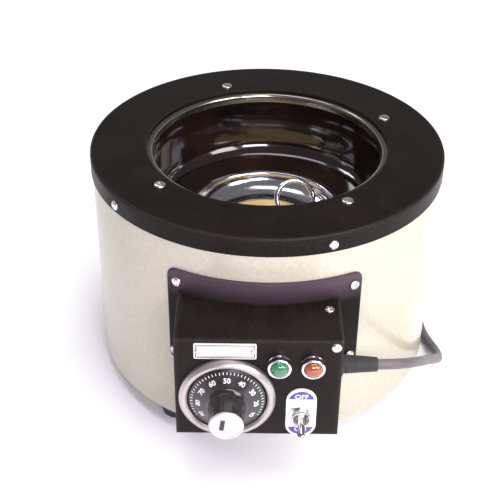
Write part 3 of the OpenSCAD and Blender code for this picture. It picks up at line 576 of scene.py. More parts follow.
# CAD nodes that are shown as they are, and their finish
CARRIED = {
    "zinc_plate": ["base_plate", "spring_platform", "spring_posts", "spring_cups", "hex_nuts",
                   "base_screws", "motor_screws", "clamp_bolt"],
    "black_rubber": ["splash_seal", "wire_grommet"],
    "cast_aluminium": ["motor_top_bell", "motor_bottom_bell", "regulator_body"],
    "laminations": ["stator_core", "rotor_core"],
    "copper_turns": ["stator_windings"],
    "ground_steel": ["bearings", "motor_shaft", "knob_screw"],
    "cast_iron": ["eccentric_weight"],
    "brass": ["regulator_shaft"],
    "cream_plastic": ["lamp_bodies", "terminal_block"],
    "brown_phenolic": ["toggle_body"],
    "blue_wire": ["control_wiring"],
}


# ---- Geometry node trees ----

def new_tree(name, ins):
    """An empty geometry tree with named inputs, ready for its nodes."""
    tree = bpy.data.node_groups.new(name, "GeometryNodeTree")
    tree.interface.new_socket("Geometry", in_out="INPUT", socket_type="NodeSocketGeometry")
    for label, kind, value in ins:
        made = tree.interface.new_socket(label, in_out="INPUT", socket_type=kind)
        if value is not None:
            made.default_value = value
    tree.interface.new_socket("Geometry", in_out="OUTPUT", socket_type="NodeSocketGeometry")
    return tree, tree.nodes.new("NodeGroupInput"), tree.nodes.new("NodeGroupOutput")


def end_tree(tree, given, out, geometry):
    """Ends a tree in Realize Instances and Set Material."""
    real = tree.nodes.new("GeometryNodeRealizeInstances")
    paint = tree.nodes.new("GeometryNodeSetMaterial")
    tree.links.new(geometry, real.inputs[0])
    tree.links.new(real.outputs[0], paint.inputs["Geometry"])
    tree.links.new(given.outputs["Finish"], paint.inputs["Material"])
    tree.links.new(paint.outputs[0], out.inputs[0])


def fastener_tree():
    """A fastener on each point, its head facing along the point's own vector."""
    tree, given, out = new_tree("Fasteners", [
        ("Fastener", "NodeSocketObject", None), ("Size", "NodeSocketFloat", 1.0),
        ("Seed", "NodeSocketInt", 4), ("Finish", "NodeSocketMaterial", None)])
    link = tree.links.new
    head = new_node(tree, "GeometryNodeObjectInfo", transform_space="ORIGINAL")
    facing = new_node(tree, "GeometryNodeInputNamedAttribute", {"Name": "facing"},
                      data_type="FLOAT_VECTOR")
    align = new_node(tree, "FunctionNodeAlignRotationToVector", axis="Z")
    spin = new_node(tree, "FunctionNodeRandomValue", {"Min": 0.0, "Max": TURN}, data_type="FLOAT")
    spin.inputs[3].default_value = TURN
    about = tree.nodes.new("ShaderNodeCombineXYZ")
    euler = tree.nodes.new("FunctionNodeEulerToRotation")
    turn = new_node(tree, "FunctionNodeRotateRotation", rotation_space="LOCAL")
    place = tree.nodes.new("GeometryNodeInstanceOnPoints")
    link(given.outputs["Fastener"], head.inputs["Object"])
    link(facing.outputs["Attribute"], align.inputs["Vector"])
    link(given.outputs["Seed"], spin.inputs["Seed"])
    link(spin.outputs[1], about.inputs["Z"])
    link(about.outputs[0], euler.inputs[0])
    link(align.outputs[0], turn.inputs[0])
    link(euler.outputs[0], turn.inputs[1])
    link(given.outputs["Geometry"], place.inputs["Points"])
    link(head.outputs["Geometry"], place.inputs["Instance"])
    link(turn.outputs[0], place.inputs["Rotation"])
    link(given.outputs["Size"], place.inputs["Scale"])
    end_tree(tree, given, out, place.outputs[0])
    return tree


def ribs_tree():
    """Round ribs in a row along local z, each a step narrower than the last."""
    tree, given, out = new_tree("Ribs", [
        ("Count", "NodeSocketInt", 6), ("Pitch", "NodeSocketFloat", 0.001),
        ("Radius", "NodeSocketFloat", 0.005), ("Taper", "NodeSocketFloat", 0.0),
        ("Wire", "NodeSocketFloat", 0.0004), ("Finish", "NodeSocketMaterial", None)])
    link = tree.links.new
    step = tree.nodes.new("ShaderNodeCombineXYZ")
    line = new_node(tree, "GeometryNodeMeshLine", mode="OFFSET")
    circle = new_node(tree, "GeometryNodeCurvePrimitiveCircle", {"Resolution": 48})
    section = new_node(tree, "GeometryNodeCurvePrimitiveCircle", {"Resolution": 10})
    rib = tree.nodes.new("GeometryNodeCurveToMesh")
    place = tree.nodes.new("GeometryNodeInstanceOnPoints")
    index = tree.nodes.new("GeometryNodeInputIndex")
    shrink = new_node(tree, "ShaderNodeMath", operation="MULTIPLY")
    size = new_node(tree, "ShaderNodeMath", {0: 1.0}, operation="SUBTRACT")
    link(given.outputs["Pitch"], step.inputs["Z"])
    link(given.outputs["Count"], line.inputs["Count"])
    link(step.outputs[0], line.inputs["Offset"])
    link(given.outputs["Radius"], circle.inputs["Radius"])
    link(given.outputs["Wire"], section.inputs["Radius"])
    link(circle.outputs[0], rib.inputs["Curve"])
    link(section.outputs[0], rib.inputs["Profile Curve"])
    link(index.outputs[0], shrink.inputs[0])
    link(given.outputs["Taper"], shrink.inputs[1])
    link(shrink.outputs[0], size.inputs[1])
    link(line.outputs[0], place.inputs["Points"])
    link(rib.outputs[0], place.inputs["Instance"])
    link(size.outputs[0], place.inputs["Scale"])
    end_tree(tree, given, out, place.outputs[0])
    return tree


def spring_tree():
    """A helical spring standing on each point."""
    tree, given, out = new_tree("Springs", [
        ("Turns", "NodeSocketFloat", 6.0), ("Radius", "NodeSocketFloat", 0.008),
        ("Height", "NodeSocketFloat", 0.04), ("Wire", "NodeSocketFloat", 0.001),
        ("Finish", "NodeSocketMaterial", None)])
    link = tree.links.new
    helix = new_node(tree, "GeometryNodeCurveSpiral", {"Resolution": 40})
    section = new_node(tree, "GeometryNodeCurvePrimitiveCircle", {"Resolution": 12})
    wire = new_node(tree, "GeometryNodeCurveToMesh", {"Fill Caps": True})
    place = tree.nodes.new("GeometryNodeInstanceOnPoints")
    link(given.outputs["Turns"], helix.inputs["Rotations"])
    link(given.outputs["Radius"], helix.inputs["Start Radius"])
    link(given.outputs["Radius"], helix.inputs["End Radius"])
    link(given.outputs["Height"], helix.inputs["Height"])
    link(given.outputs["Wire"], section.inputs["Radius"])
    link(helix.outputs[0], wire.inputs["Curve"])
    link(section.outputs[0], wire.inputs["Profile Curve"])
    link(given.outputs["Geometry"], place.inputs["Points"])
    link(wire.outputs[0], place.inputs["Instance"])
    end_tree(tree, given, out, place.outputs[0])
    return tree


def tick_tree():
    """Bars round an arc, flat on a cone about local z."""
    tree, given, out = new_tree("Ticks", [
        ("Count", "NodeSocketInt", 41), ("First", "NodeSocketFloat", 0.0),
        ("Step", "NodeSocketFloat", 0.1), ("Radius", "NodeSocketFloat", 0.02),
        ("Height", "NodeSocketFloat", 0.004), ("Slope", "NodeSocketFloat", 0.4),
        ("Size", "NodeSocketVector", None), ("Finish", "NodeSocketMaterial", None)])
    link = tree.links.new
    points = tree.nodes.new("GeometryNodePoints")
    index = tree.nodes.new("GeometryNodeInputIndex")
    angle = new_node(tree, "ShaderNodeMath", operation="MULTIPLY_ADD")
    cosine = new_node(tree, "ShaderNodeMath", operation="COSINE")
    sine = new_node(tree, "ShaderNodeMath", operation="SINE")
    away = new_node(tree, "ShaderNodeMath", operation="MULTIPLY")
    across = new_node(tree, "ShaderNodeMath", operation="MULTIPLY")
    spot = tree.nodes.new("ShaderNodeCombineXYZ")
    facing = tree.nodes.new("ShaderNodeCombineXYZ")
    rotation = tree.nodes.new("FunctionNodeEulerToRotation")
    bar = tree.nodes.new("GeometryNodeMeshCube")
    place = tree.nodes.new("GeometryNodeInstanceOnPoints")
    link(given.outputs["Count"], points.inputs["Count"])
    link(index.outputs[0], angle.inputs[0])
    link(given.outputs["Step"], angle.inputs[1])
    link(given.outputs["First"], angle.inputs[2])
    for part, scaled, axis in ((cosine, away, "X"), (sine, across, "Y")):
        link(angle.outputs[0], part.inputs[0])
        link(part.outputs[0], scaled.inputs[0])
        link(given.outputs["Radius"], scaled.inputs[1])
        link(scaled.outputs[0], spot.inputs[axis])
    link(given.outputs["Height"], spot.inputs["Z"])
    link(spot.outputs[0], points.inputs["Position"])
    link(given.outputs["Slope"], facing.inputs["Y"])
    link(angle.outputs[0], facing.inputs["Z"])
    link(facing.outputs[0], rotation.inputs[0])
    link(given.outputs["Size"], bar.inputs["Size"])
    link(points.outputs[0], place.inputs["Points"])
    link(bar.outputs["Mesh"], place.inputs["Instance"])
    link(rotation.outputs[0], place.inputs["Rotation"])
    end_tree(tree, given, out, place.outputs[0])
    return tree


TREES = {}


def tree_named(name):
    if name not in TREES:
        TREES[name] = {"Fasteners": fastener_tree, "Ribs": ribs_tree, "Springs": spring_tree,
                       "Ticks": tick_tree}[name]()
    return TREES[name]


def grown(tree_name, inputs, points=None, facing=None, place=Matrix()):
    """Runs a geometry tree on some points and gives back its plain mesh."""
    tree = tree_named(tree_name)
    seed = bpy.data.meshes.new("points")
    seed.from_pydata([tuple(p) for p in (points or [(0, 0, 0)])], [], [])
    if facing:
        layer = seed.attributes.new("facing", "FLOAT_VECTOR", "POINT")
        layer.data.foreach_set("vector", [c for v in facing for c in v])
    host = bpy.data.objects.new("points", seed)
    bpy.context.scene.collection.objects.link(host)
    modifier = host.modifiers.new("Build", "NODES")
    modifier.node_group = tree
    sockets = {item.name: item.identifier for item in tree.interface.items_tree
               if item.in_out == "INPUT"}
    for label, value in inputs.items():
        modifier[sockets[label]] = value
    depsgraph = bpy.context.evaluated_depsgraph_get()
    mesh = bpy.data.meshes.new_from_object(host.evaluated_get(depsgraph))
    mesh.transform(place)
    bpy.data.objects.remove(host)
    return mesh


# ---- Sizes and colours that a user would change ----

class TumblerBowlSettings(PropertyGroup):
    """Sizes of the bowl and its fittings"""
    dish_depth: FloatProperty(name="Dish depth", description="Depth of the polished dish under its rim",
                              default=11 * MM, unit="LENGTH")
    ring_wire: FloatProperty(name="Ring wire", description="Radius of the lift ring's wire",
                             default=1.7 * MM, unit="LENGTH")


class TumblerDialSettings(PropertyGroup):
    """The scale on the dial"""
    figures: IntProperty(name="Figures", description="How many figures the dial shows", default=9)
    sweep: FloatProperty(name="Sweep", description="Angle from the first figure to the last",
                         default=math.radians(240), subtype="ANGLE")
    figure_size: FloatProperty(name="Figure size", description="Height of the dial's figures",
                               default=4.3 * MM, unit="LENGTH")
    ticks_between: IntProperty(name="Ticks", description="Ticks from one figure to the next", default=5)


class TumblerLeadSettings(PropertyGroup):
    """The mains lead"""
    diameter: FloatProperty(name="Diameter", description="Diameter of the lead", default=6.5 * MM,
                            unit="LENGTH")
    columns: IntProperty(name="Columns", description="Turns side by side in the coil", default=3)
    mid_radius: FloatProperty(name="Coil radius", description="Radius of the coil's middle turn",
                              default=34.5 * MM, unit="LENGTH")


class TumblerStageSettings(PropertyGroup):
    """Floor, light and camera"""
    floor_colour: FloatVectorProperty(name="Floor", description="Colour of the floor",
                                      default=(0.94, 0.94, 0.945), subtype="COLOR", size=3)
    key_power: FloatProperty(name="Key light", description="Power of the main soft light", default=4.7,
                             unit="POWER")
    fill_power: FloatProperty(name="Front light", description="Power of the low light in front",
                              default=7.5, unit="POWER")
    top_power: FloatProperty(name="Top light", description="Power of the long light overhead",
                             default=3.2, unit="POWER")
    even_power: FloatProperty(name="Even light", description="Strength of the broad light overhead",
                              default=2.3)
    lens: FloatProperty(name="Lens", description="Focal length of the camera, in millimetres",
                        default=76.46)


# ---- Camera and stage ----

def build_camera(lens):
    """Stands the camera in front, looking down into the bowl."""
    tilt = math.radians(34.18)
    roll = math.radians(0.706)
    across = Vector((1, 0, 0))
    rise = Vector((0, math.sin(tilt), math.cos(tilt)))
    back = Vector((0, -math.cos(tilt), math.sin(tilt)))
    right = across * math.cos(roll) + rise * math.sin(roll)
    up = rise * math.cos(roll) - across * math.sin(roll)
    lens_data = bpy.data.cameras.new("camera")
    lens_data.lens = lens
    lens_data.sensor_width = 36
    lens_data.clip_start = 0.01
    camera = bpy.data.objects.new("camera", lens_data)
    bpy.context.scene.collection.objects.link(camera)
    turned_frame = Matrix((right, up, back)).transposed().to_4x4()
    camera.matrix_world = Matrix.Translation(from_axis((-10.48, -618.8, 497.0))) @ turned_frame
    bpy.context.scene.camera = camera


def plain_material(name, colour, rough):
    """A pale stage surface, a little uneven in tone."""
    material = bpy.data.materials.new(name)
    material.use_nodes = True
    tree = material.node_tree
    shader = tree.nodes["Principled BSDF"]
    shader.inputs["Roughness"].default_value = rough
    cloud = new_node(tree, "ShaderNodeTexNoise", {"Scale": 2.0, "Detail": 2.0})
    tone = new_node(tree, "ShaderNodeMix", data_type="RGBA")
    tone.inputs["A"].default_value = (*colour, 1)
    tone.inputs["B"].default_value = (*[c * 0.985 for c in colour], 1)
    tree.links.new(cloud.outputs["Fac"], tone.inputs["Factor"])
    tree.links.new(tone.outputs["Result"], shader.inputs["Base Color"])
    return material


def soft_light(name, place, target, size, power, colour=(1, 1, 1), height=None):
    """A rectangular soft light, aimed from one point at another, in millimetres from the axis."""
    lamp = bpy.data.lights.new(name, "AREA")
    lamp.shape = "RECTANGLE"
    lamp.size = size * MM
    lamp.size_y = (height or size) * MM
    lamp.energy = power
    lamp.color = colour
    holder = bpy.data.objects.new(name, lamp)
    bpy.context.scene.collection.objects.link(holder)
    aim = (Vector(target) - Vector(place)).to_track_quat("-Z", "Y").to_matrix().to_4x4()
    holder.matrix_world = Matrix.Translation(from_axis(place)) @ aim


class TUMBLER_OT_stage(Operator):
    """Set up the camera, the floor, the backdrop and the soft lights"""
    bl_idname = "tumbler.stage"
    bl_label = "Build the stage"

    def execute(self, context):
        settings = context.scene.tumbler_stage
        build_camera(settings.lens)
        bm = bmesh.new()
        sweep = [(-14, 0), (2.4, 0)] + [(2.4 + 0.6 * math.sin(math.radians(a)),
                                        0.6 - 0.6 * math.cos(math.radians(a)))
                                       for a in range(10, 91, 10)] + [(3.0, 0.9)]
        rows = [[bm.verts.new((x, y, z)) for x in (-14, 14)] for y, z in sweep]
        for under, over in zip(rows, rows[1:]):
            bm.faces.new((under[0], under[1], over[1], over[0]))
        mesh = bpy.data.meshes.new("floor")
        bm.to_mesh(mesh)
        bm.free()
        mesh.materials.append(plain_material("floor_paint", settings.floor_colour, 0.85))
        mesh.polygons.foreach_set("use_smooth", [True] * len(mesh.polygons))
        floor = bpy.data.objects.new("floor", mesh)
        context.scene.collection.objects.link(floor)
        soft_light("key", (620, -560, 560), (0, -20, 90), 420, settings.key_power, (1, 0.97, 0.92))
        soft_light("front", (190, -900, 540), (0, -115, 110), 420, settings.fill_power,
                   (0.88, 0.83, 1), 260)
        soft_light("top", (-190, 60, 1400), (0, 0, 100), 250, settings.top_power, (0.98, 0.9, 1), 950)
        soft_light("glint", (-600, 360, 830), (60, 45, 115), 180, settings.key_power * 0.25)
        sun = bpy.data.lights.new("even", "SUN")
        sun.energy = settings.even_power
        sun.angle = math.radians(50)
        overhead = bpy.data.objects.new("even", sun)
        context.scene.collection.objects.link(overhead)
        overhead.matrix_world = Matrix.Rotation(math.radians(14), 4, "Y")
        overhead.visible_glossy = False
        context.scene.world = self.sky()
        context.scene.view_settings.view_transform = "Standard"
        return {"FINISHED"}

    def sky(self):
        """A room that is pale at eye level and dim overhead"""
        world = bpy.data.worlds.new("studio")
        world.use_nodes = True
        tree = world.node_tree
        shade = tree.nodes["Background"]
        shade.inputs["Strength"].default_value = 1.0
        place = new_node(tree, "ShaderNodeTexCoord")
        split = new_node(tree, "ShaderNodeSeparateXYZ")
        height = new_node(tree, "ShaderNodeMapRange", {"From Min": 0.18, "From Max": 0.5})
        tone = new_node(tree, "ShaderNodeMix", data_type="RGBA")
        tone.inputs["A"].default_value = (0.33, 0.33, 0.35, 1)
        tone.inputs["B"].default_value = (0.16, 0.16, 0.18, 1)
        tree.links.new(place.outputs["Generated"], split.inputs[0])
        tree.links.new(split.outputs["Z"], height.inputs["Value"])
        tree.links.new(height.outputs["Result"], tone.inputs["Factor"])
        tree.links.new(tone.outputs["Result"], shade.inputs["Color"])
        return world


# ---- Mains lead ----

# The lead's way from the box round the drum to the coil, in millimetres from the axis
LEAD_ROUTE = [
    (50, -126, 80), (60, -126, 80), (70, -126, 80), (79.5, -123, 78),
    (88, -116, 73), (95, -106.5, 66), (100.5, -96, 58), (105, -85, 49.5), (109.5, -74, 41),
    (114, -63, 32), (118.5, -52.5, 23.5), (122.5, -42, 15.5), (124.5, -30.5, 9.5),
    (123.5, -18.5, 5.8), (120.5, -7, 4), (118.3, 5, 3.4), (117.5, 18, 3.3), (116.5, 32, 3.3),
    (114.5, 46, 3.3), (112, 60, 3.3), (109, 74, 3.3), (106, 88, 3.3), (103, 102, 3.3),
    (99.8, 116, 3.4), (97.6, 130, 3.6), (96.6, 145, 3.9)]
# The lead's way from the coil to the plug
PLUG_ROUTE = [
    (67.5, 116.2, 10.6), (77.2, 119.7, 10.6), (88.4, 129.5, 10.6), (96.6, 143.8, 10.6),
    (99.5, 160, 10.4), (98.6, 174, 9.4), (94, 188, 7.4), (85.5, 200, 5.4), (73.5, 209, 4.1),
    (59, 214, 3.5), (44, 215.5, 3.3), (29, 214.5, 3.3), (16, 212.8, 4), (4, 211, 6.6),
    (-8, 209.8, 10.2), (-20, 209.3, 12)]
LEAD_EXIT = (43.5, -126, 80)
COIL_AT = (52, 160)
COIL_LOW = 0.8
PLUG_AT = (-20, 209.3, 12)


# Where each turn of the coil moves over to its next place, so that no turn meets another
MOVES = (355, 355, 325, 295, 295)


def eased(share):
    """A soft start and a soft stop between 0 and 1."""
    return 0.5 - 0.5 * math.cos(math.pi * min(1, max(0, share)))


def coil_points(radii, heights, step=5.0):
    """The coil's turns: in along the lower layer and out again along the upper one."""
    last = len(radii) - 1
    points = []
    for i in range(int((360 * last + 265) / step) + 1):
        turned_by = i * step
        r = radii[0] + 3.2 * (1 - eased(turned_by / 60))
        z = heights[0]
        for k, centre in enumerate(MOVES):
            share = eased((turned_by - 360 * k - centre + 50) / 100)
            r += (radii[k + 1] - radii[k]) * share
            z += (heights[k + 1] - heights[k]) * share
        r += 6.5 * eased((turned_by - 360 * last - 252) / 50)
        angle = math.radians(turned_by)
        points.append((COIL_AT[0] + r * math.cos(angle), COIL_AT[1] + r * math.sin(angle), z))
    return points


def through(points, step=2.0):
    """A smooth way through points, its own points about evenly apart."""
    points = [Vector(p) for p in points]
    padded = [points[0] * 2 - points[1]] + points + [points[-1] * 2 - points[-2]]
    made = []
    for i in range(1, len(padded) - 2):
        a, b, c, d = padded[i - 1:i + 3]
        count = max(1, round((c - b).length / step))
        for k in range(count):
            t = k / count
            made.append(0.5 * (2 * b + (c - a) * t + (2 * a - 5 * b + 4 * c - d) * t * t
                               + (3 * b - a - 3 * c + d) * t ** 3))
    made.append(points[-1])
    return made


class TUMBLER_OT_lead(Operator):
    """Build the mains lead with its gland, its coil, its tie and its plug"""
    bl_idname = "tumbler.lead"
    bl_label = "Build the mains lead"

    def execute(self, context):
        settings = context.scene.tumbler_lead
        wide = settings.diameter / MM
        columns = [settings.mid_radius / MM + wide * k for k in (1, 0, -1)]
        layers = [COIL_LOW + wide / 2] * 3 + [COIL_LOW + wide * 1.5] * 3
        turns = coil_points(columns + columns[::-1], layers)
        route = through([LEAD_EXIT] + LEAD_ROUTE + turns[:1], 5)
        path = route + [Vector(p) for p in turns[1:]] + through(PLUG_ROUTE, 5)
        bm = bmesh.new()
        add_tube(bm, path, wide / 2 - 0.02, 14)
        lead = finished("mains_lead", bm, "lead_rubber", "housing",
                        ("mains_cord", "cord_coil"), sharp=60)
        gland = self.gland()
        tie = self.tie(wide)
        plug, pins = self.plug()
        return {"FINISHED"}

    def gland(self):
        """A tapered strain relief with a grooved collar"""
        out = Matrix.Translation(LEAD_EXIT) @ Matrix.Rotation(math.pi / 2, 4, "Y")
        bm = bmesh.new()
        add_lathe(bm, soften([(3.34, -5), (8.5, -5, 0.5), (8.5, -1.2, 0.2), (6.4, -1.2, 0.1),
                              (6.4, 0, 0.1), (8.5, 0, 0.2), (8.5, 2, 0.5), (5.8, 3.4, 0.6),
                              (4.35, 24, 0.4), (3.34, 24, 0.2)], 0.1), 96, True, out)
        add_ribs(bm, out @ Matrix.Translation((0, 0, 4.8)), Count=11, Pitch=1.75 * MM,
                 Radius=5.42 * MM, Taper=0.0235, Wire=0.55 * MM)
        return finished("lead_gland", bm, "black_rubber", "housing", ("cord_gland",))

    def tie(self, wide):
        """A woven strap round the coil, its end lapped over"""
        middle_r = 34.5
        half = 1.5 * wide + 0.15
        top = COIL_LOW + 2 * wide + 0.1
        ring = [(-half, 0.4), (half, 0.4), (half + 0.55, 0.9), (half + 0.55, top - 0.4),
                (half, top + 0.3), (-half, top + 0.3), (-half - 0.55, top - 0.4), (-half - 0.55, 0.9)]
        around = Matrix.Translation((*COIL_AT, 0)) @ Matrix.Rotation(math.radians(205), 4, "Z")
        bm = bmesh.new()
        outer = soften(ring, 1.2, 5)
        inner = inset(outer, 0.36)
        rows = []
        for y, outline, other in ((-4.9, outer, inner), (4.9, outer, inner)):
            rows.append([around @ Vector((middle_r + p[0], y, p[1])) for p in outline])
            rows.append([around @ Vector((middle_r + p[0], y, p[1])) for p in other])
        loops = [[bm.verts.new(p) for p in row] for row in (rows[0], rows[2], rows[3], rows[1])]
        join_rows(bm, loops)
        lap = around @ Matrix.Translation((middle_r, 0, top + 0.42))
        add_block(bm, (11, 9.6, 0.3), (-1.5, 0, 0), 0.1, lap)
        return finished("lead_tie", bm, "strap_weave", "housing", ("cord_tie",))

    def plug(self):
        """The moulded plug and its round pins"""
        out = Matrix.Translation(PLUG_AT) @ Matrix.Rotation(-math.pi / 2, 4, "Y")
        bm = bmesh.new()
        rows = []
        for z, half_x, half_y, r in ((14, 5.5, 5.5, 5.4), (16, 7, 7.4, 6.6), (20, 9.3, 12.5, 7.5),
                                     (25, 11.2, 16.6, 8.5), (30, 11.9, 18.3, 9), (35, 12, 18.9, 9),
                                     (39.6, 12, 18.9, 9), (40.7, 11.6, 18.5, 8.6), (41, 11, 17.9, 8)):
            rows.append([out @ Vector((p[0], p[1], z)) for p in
                         round_rect(2 * half_x, 2 * half_y, r, 8)])
        add_rows(bm, rows)
        add_lathe(bm, soften([(0, -2.4), (4.5, -2.4, 0.4), (5.6, 14.6, 0.2), (0, 14.6)], 0.2, loop=False),
                  64, False, out)
        add_ribs(bm, out @ Matrix.Translation((0, 0, -1)), Count=8, Pitch=1.9 * MM,
                 Radius=4.6 * MM, Taper=-0.02, Wire=0.5 * MM)
        plug = finished("lead_plug", bm, "black_rubber", "housing", ("mains_plug",))
        bm = bmesh.new()
        tip = PLUG_AT[0] - (low("plug_pins").x - AXIS.x) / MM
        for x, y in ((-5, -9), (-5, 9), (6, 0)):
            at = out @ Matrix.Translation((x, y, 0))
            add_lathe(bm, soften([(0, 40), (2.5, 40, 0.1), (2.5, tip - 1.6, 0.4), (1.5, tip, 0.5),
                                  (0, tip)], 0.2, loop=False), 48, False, at)
        pins = finished("lead_plug_pins", bm, "brass", "housing", ("plug_pins",))
        return plug, pins


# ---- Screws ----

def screw_head(name, head_r, head_h):
    """A domed head with a cross recess, standing on local z = 0 at the origin, in metres."""
    bm = bmesh.new()
    dome = [(0, -0.3), (head_r * 0.98, -0.3), (head_r, 0), (head_r, head_h * 0.22)]
    dome += [(head_r * math.cos(math.radians(t)), head_h * (0.25 + 0.75 * math.sin(math.radians(t))))
             for t in range(8, 90, 8)]
    add_lathe(bm, dome + [(0, head_h)], 40)
    bmesh.ops.recalc_face_normals(bm, faces=bm.faces)
    bmesh.ops.scale(bm, vec=(MM, MM, MM), verts=bm.verts)
    mesh = bpy.data.meshes.new(name)
    bm.to_mesh(mesh)
    bm.free()
    cutter = bmesh.new()
    for turn in (0, 90):
        at = Matrix.Rotation(math.radians(turn), 4, "Z")
        add_block(cutter, (head_r * 1.15, head_r * 0.24, head_h), (0, 0, head_h * 1.02), 0.05, at, 1)
    bmesh.ops.scale(cutter, vec=(MM, MM, MM), verts=cutter.verts)
    tool_mesh = bpy.data.meshes.new("recess")
    cutter.to_mesh(tool_mesh)
    cutter.free()
    head = bpy.data.objects.new(name, mesh)
    tool = bpy.data.objects.new("recess", tool_mesh)
    for made in (head, tool):
        bpy.context.scene.collection.objects.link(made)
    cut = head.modifiers.new("Recess", "BOOLEAN")
    cut.object = tool
    cut.operation = "DIFFERENCE"
    cut.use_self = True
    depsgraph = bpy.context.evaluated_depsgraph_get()
    result = bpy.data.meshes.new_from_object(head.evaluated_get(depsgraph))
    bpy.data.objects.remove(head)
    bpy.data.objects.remove(tool)
    result.polygons.foreach_set("use_smooth", [True] * len(result.polygons))
    plain = bpy.data.objects.new(name, result)
    bpy.context.scene.collection.objects.link(plain)
    return plain


def screws(name, head_r, head_h, points, facing, body, replaces, seed=3):
    """A set of like screws, each on its own point and facing its own way."""
    head = screw_head(name + "_head", head_r, head_h)
    mesh = grown("Fasteners", {"Fastener": head, "Size": 1.0, "Seed": seed,
                               "Finish": finish_named("nickel")}, points, facing)
    bpy.data.objects.remove(head)
    return show(name, mesh, "nickel", body, replaces, 40)


def round_drum(azimuth, r, z):
    """A place at an azimuth about the drum's axis, and the way out from there."""
    angle = math.radians(azimuth)
    outward = Vector((math.cos(angle), math.sin(angle), 0))
    return from_axis((r * outward.x, r * outward.y, z)), outward


class TUMBLER_OT_screws(Operator):
    """Set the domed screws on the cover, its skirt, the saddle and the box"""
    bl_idname = "tumbler.screws"
    bl_label = "Build the screws"

    def execute(self, context):
        up = Vector((0, 0, 1))
        out = Vector((0, -1, 0))
        places = [round_drum(a, COVER_SCREW_R, TOP_Z)[0] for a in COVER_SCREW_ANGLES]
        screws("cover_screws", 3.6, 1.88, places, [up] * 4, "housing", ("trim_screws",))
        pairs = [round_drum(1 + 72 * k, DRUM_R + 1, TOP_Z - 7.2) for k in range(5)]
        screws("skirt_fixings", 3.1, 1.9, [p for p, _ in pairs], [v for _, v in pairs], "housing",
               ("skirt_screws",), 8)
        pairs = [round_drum(a, SADDLE_R, z) for a, z in SADDLE_SCREWS]
        screws("saddle_fixings", 3.2, 2, [p for p, _ in pairs], [v for _, v in pairs], "housing",
               ("saddle_screws",), 5)
        panel = PANEL_Y / MM - AXIS.y / MM
        box_low = low("box_cover").z / MM
        box_high = high("box_cover").z / MM
        places = [from_axis(p) for p in ((36.6, -121.8, box_high), (39.5, panel, 113.3),
                                         (-40, -135, box_low), (30, -135, box_low))]
        screws("box_fixings", 3, 1.8, places, [up, out, -up, -up], "housing", ("box_screws",), 11)
        return {"FINISHED"}


# ---- Drum, cover and base ----

class TUMBLER_OT_drum(Operator):
    """Build the enamelled drum, the black cover and the polished ring under it"""
    bl_idname = "tumbler.drum"
    bl_label = "Build the drum"

    def execute(self, context):
        r = DRUM_R
        top = TOP_Z
        base = FOOT_H
        leg = low("trim_ring").z / MM
        lip = min(high("top_cover").x - AXIS.x, AXIS.x - low("top_cover").x) / MM
        turned("drum_wall", soften([
            (88, base), (r - 1.2, base, 1.1), (r, base + 1.4, 1.2), (r, base + 6, 0.4),
            (r, top - 5), (r, top - 2.05, 0.1), (r - 1, top - 2.05, 0.1), (r - 1, base + 1.2, 0.3),
            (88, base + 1.2, 0.3)], 0.3), "cream_enamel", "housing",
            ("drum_shell",), ring=True, turns=256)
        turned("cover_plate", soften([
            (79, top - 2, 0.5), (79, top, 0.6), (81.5, top), (r - 3, top), (lip, top, 1.7),
            (lip, top - 4.5), (lip, top - 11.4), (lip, top - 12.6, 0.35),
            (r + 0.2, top - 12.6, 0.2), (r + 0.2, top - 2, 0.6)], 0.4, 6), "black_powder",
            "housing", ("top_cover",), ring=True, turns=256)
        turned("rim_ring", soften([
            (94, top - 2, 0.3), (75, top - 2, 5), (75, leg, 0.3), (76, leg, 0.3),
            (76, top - 3, 4), (94, top - 3, 0.3)], 0.3, 10), "rim_steel", "housing",
            ("trim_ring",), ring=True, turns=256)
        self.feet()
        return {"FINISHED"}

    def feet(self):
        """Rubber feet, each narrower at the floor and wider above"""
        bm = bmesh.new()
        for azimuth in FOOT_ANGLES:
            angle = math.radians(azimuth)
            at = Matrix.Translation((FOOT_RING_R * math.cos(angle), FOOT_RING_R * math.sin(angle), 0))
            outline = soften([(0, 0), (8.8, 0, 0.5), (9.6, 1.2, 0.5), (10.9, 10.4, 0.8),
                              (10.9, FOOT_H - 0.02, 0.3), (0, FOOT_H - 0.02)], 0.3, loop=False)
            add_lathe(bm, outline, 72, False, at)
        finished("ribbed_feet", bm, "black_rubber", "housing", ("rubber_feet",))


# ---- Bowl, dish, pad and ring ----

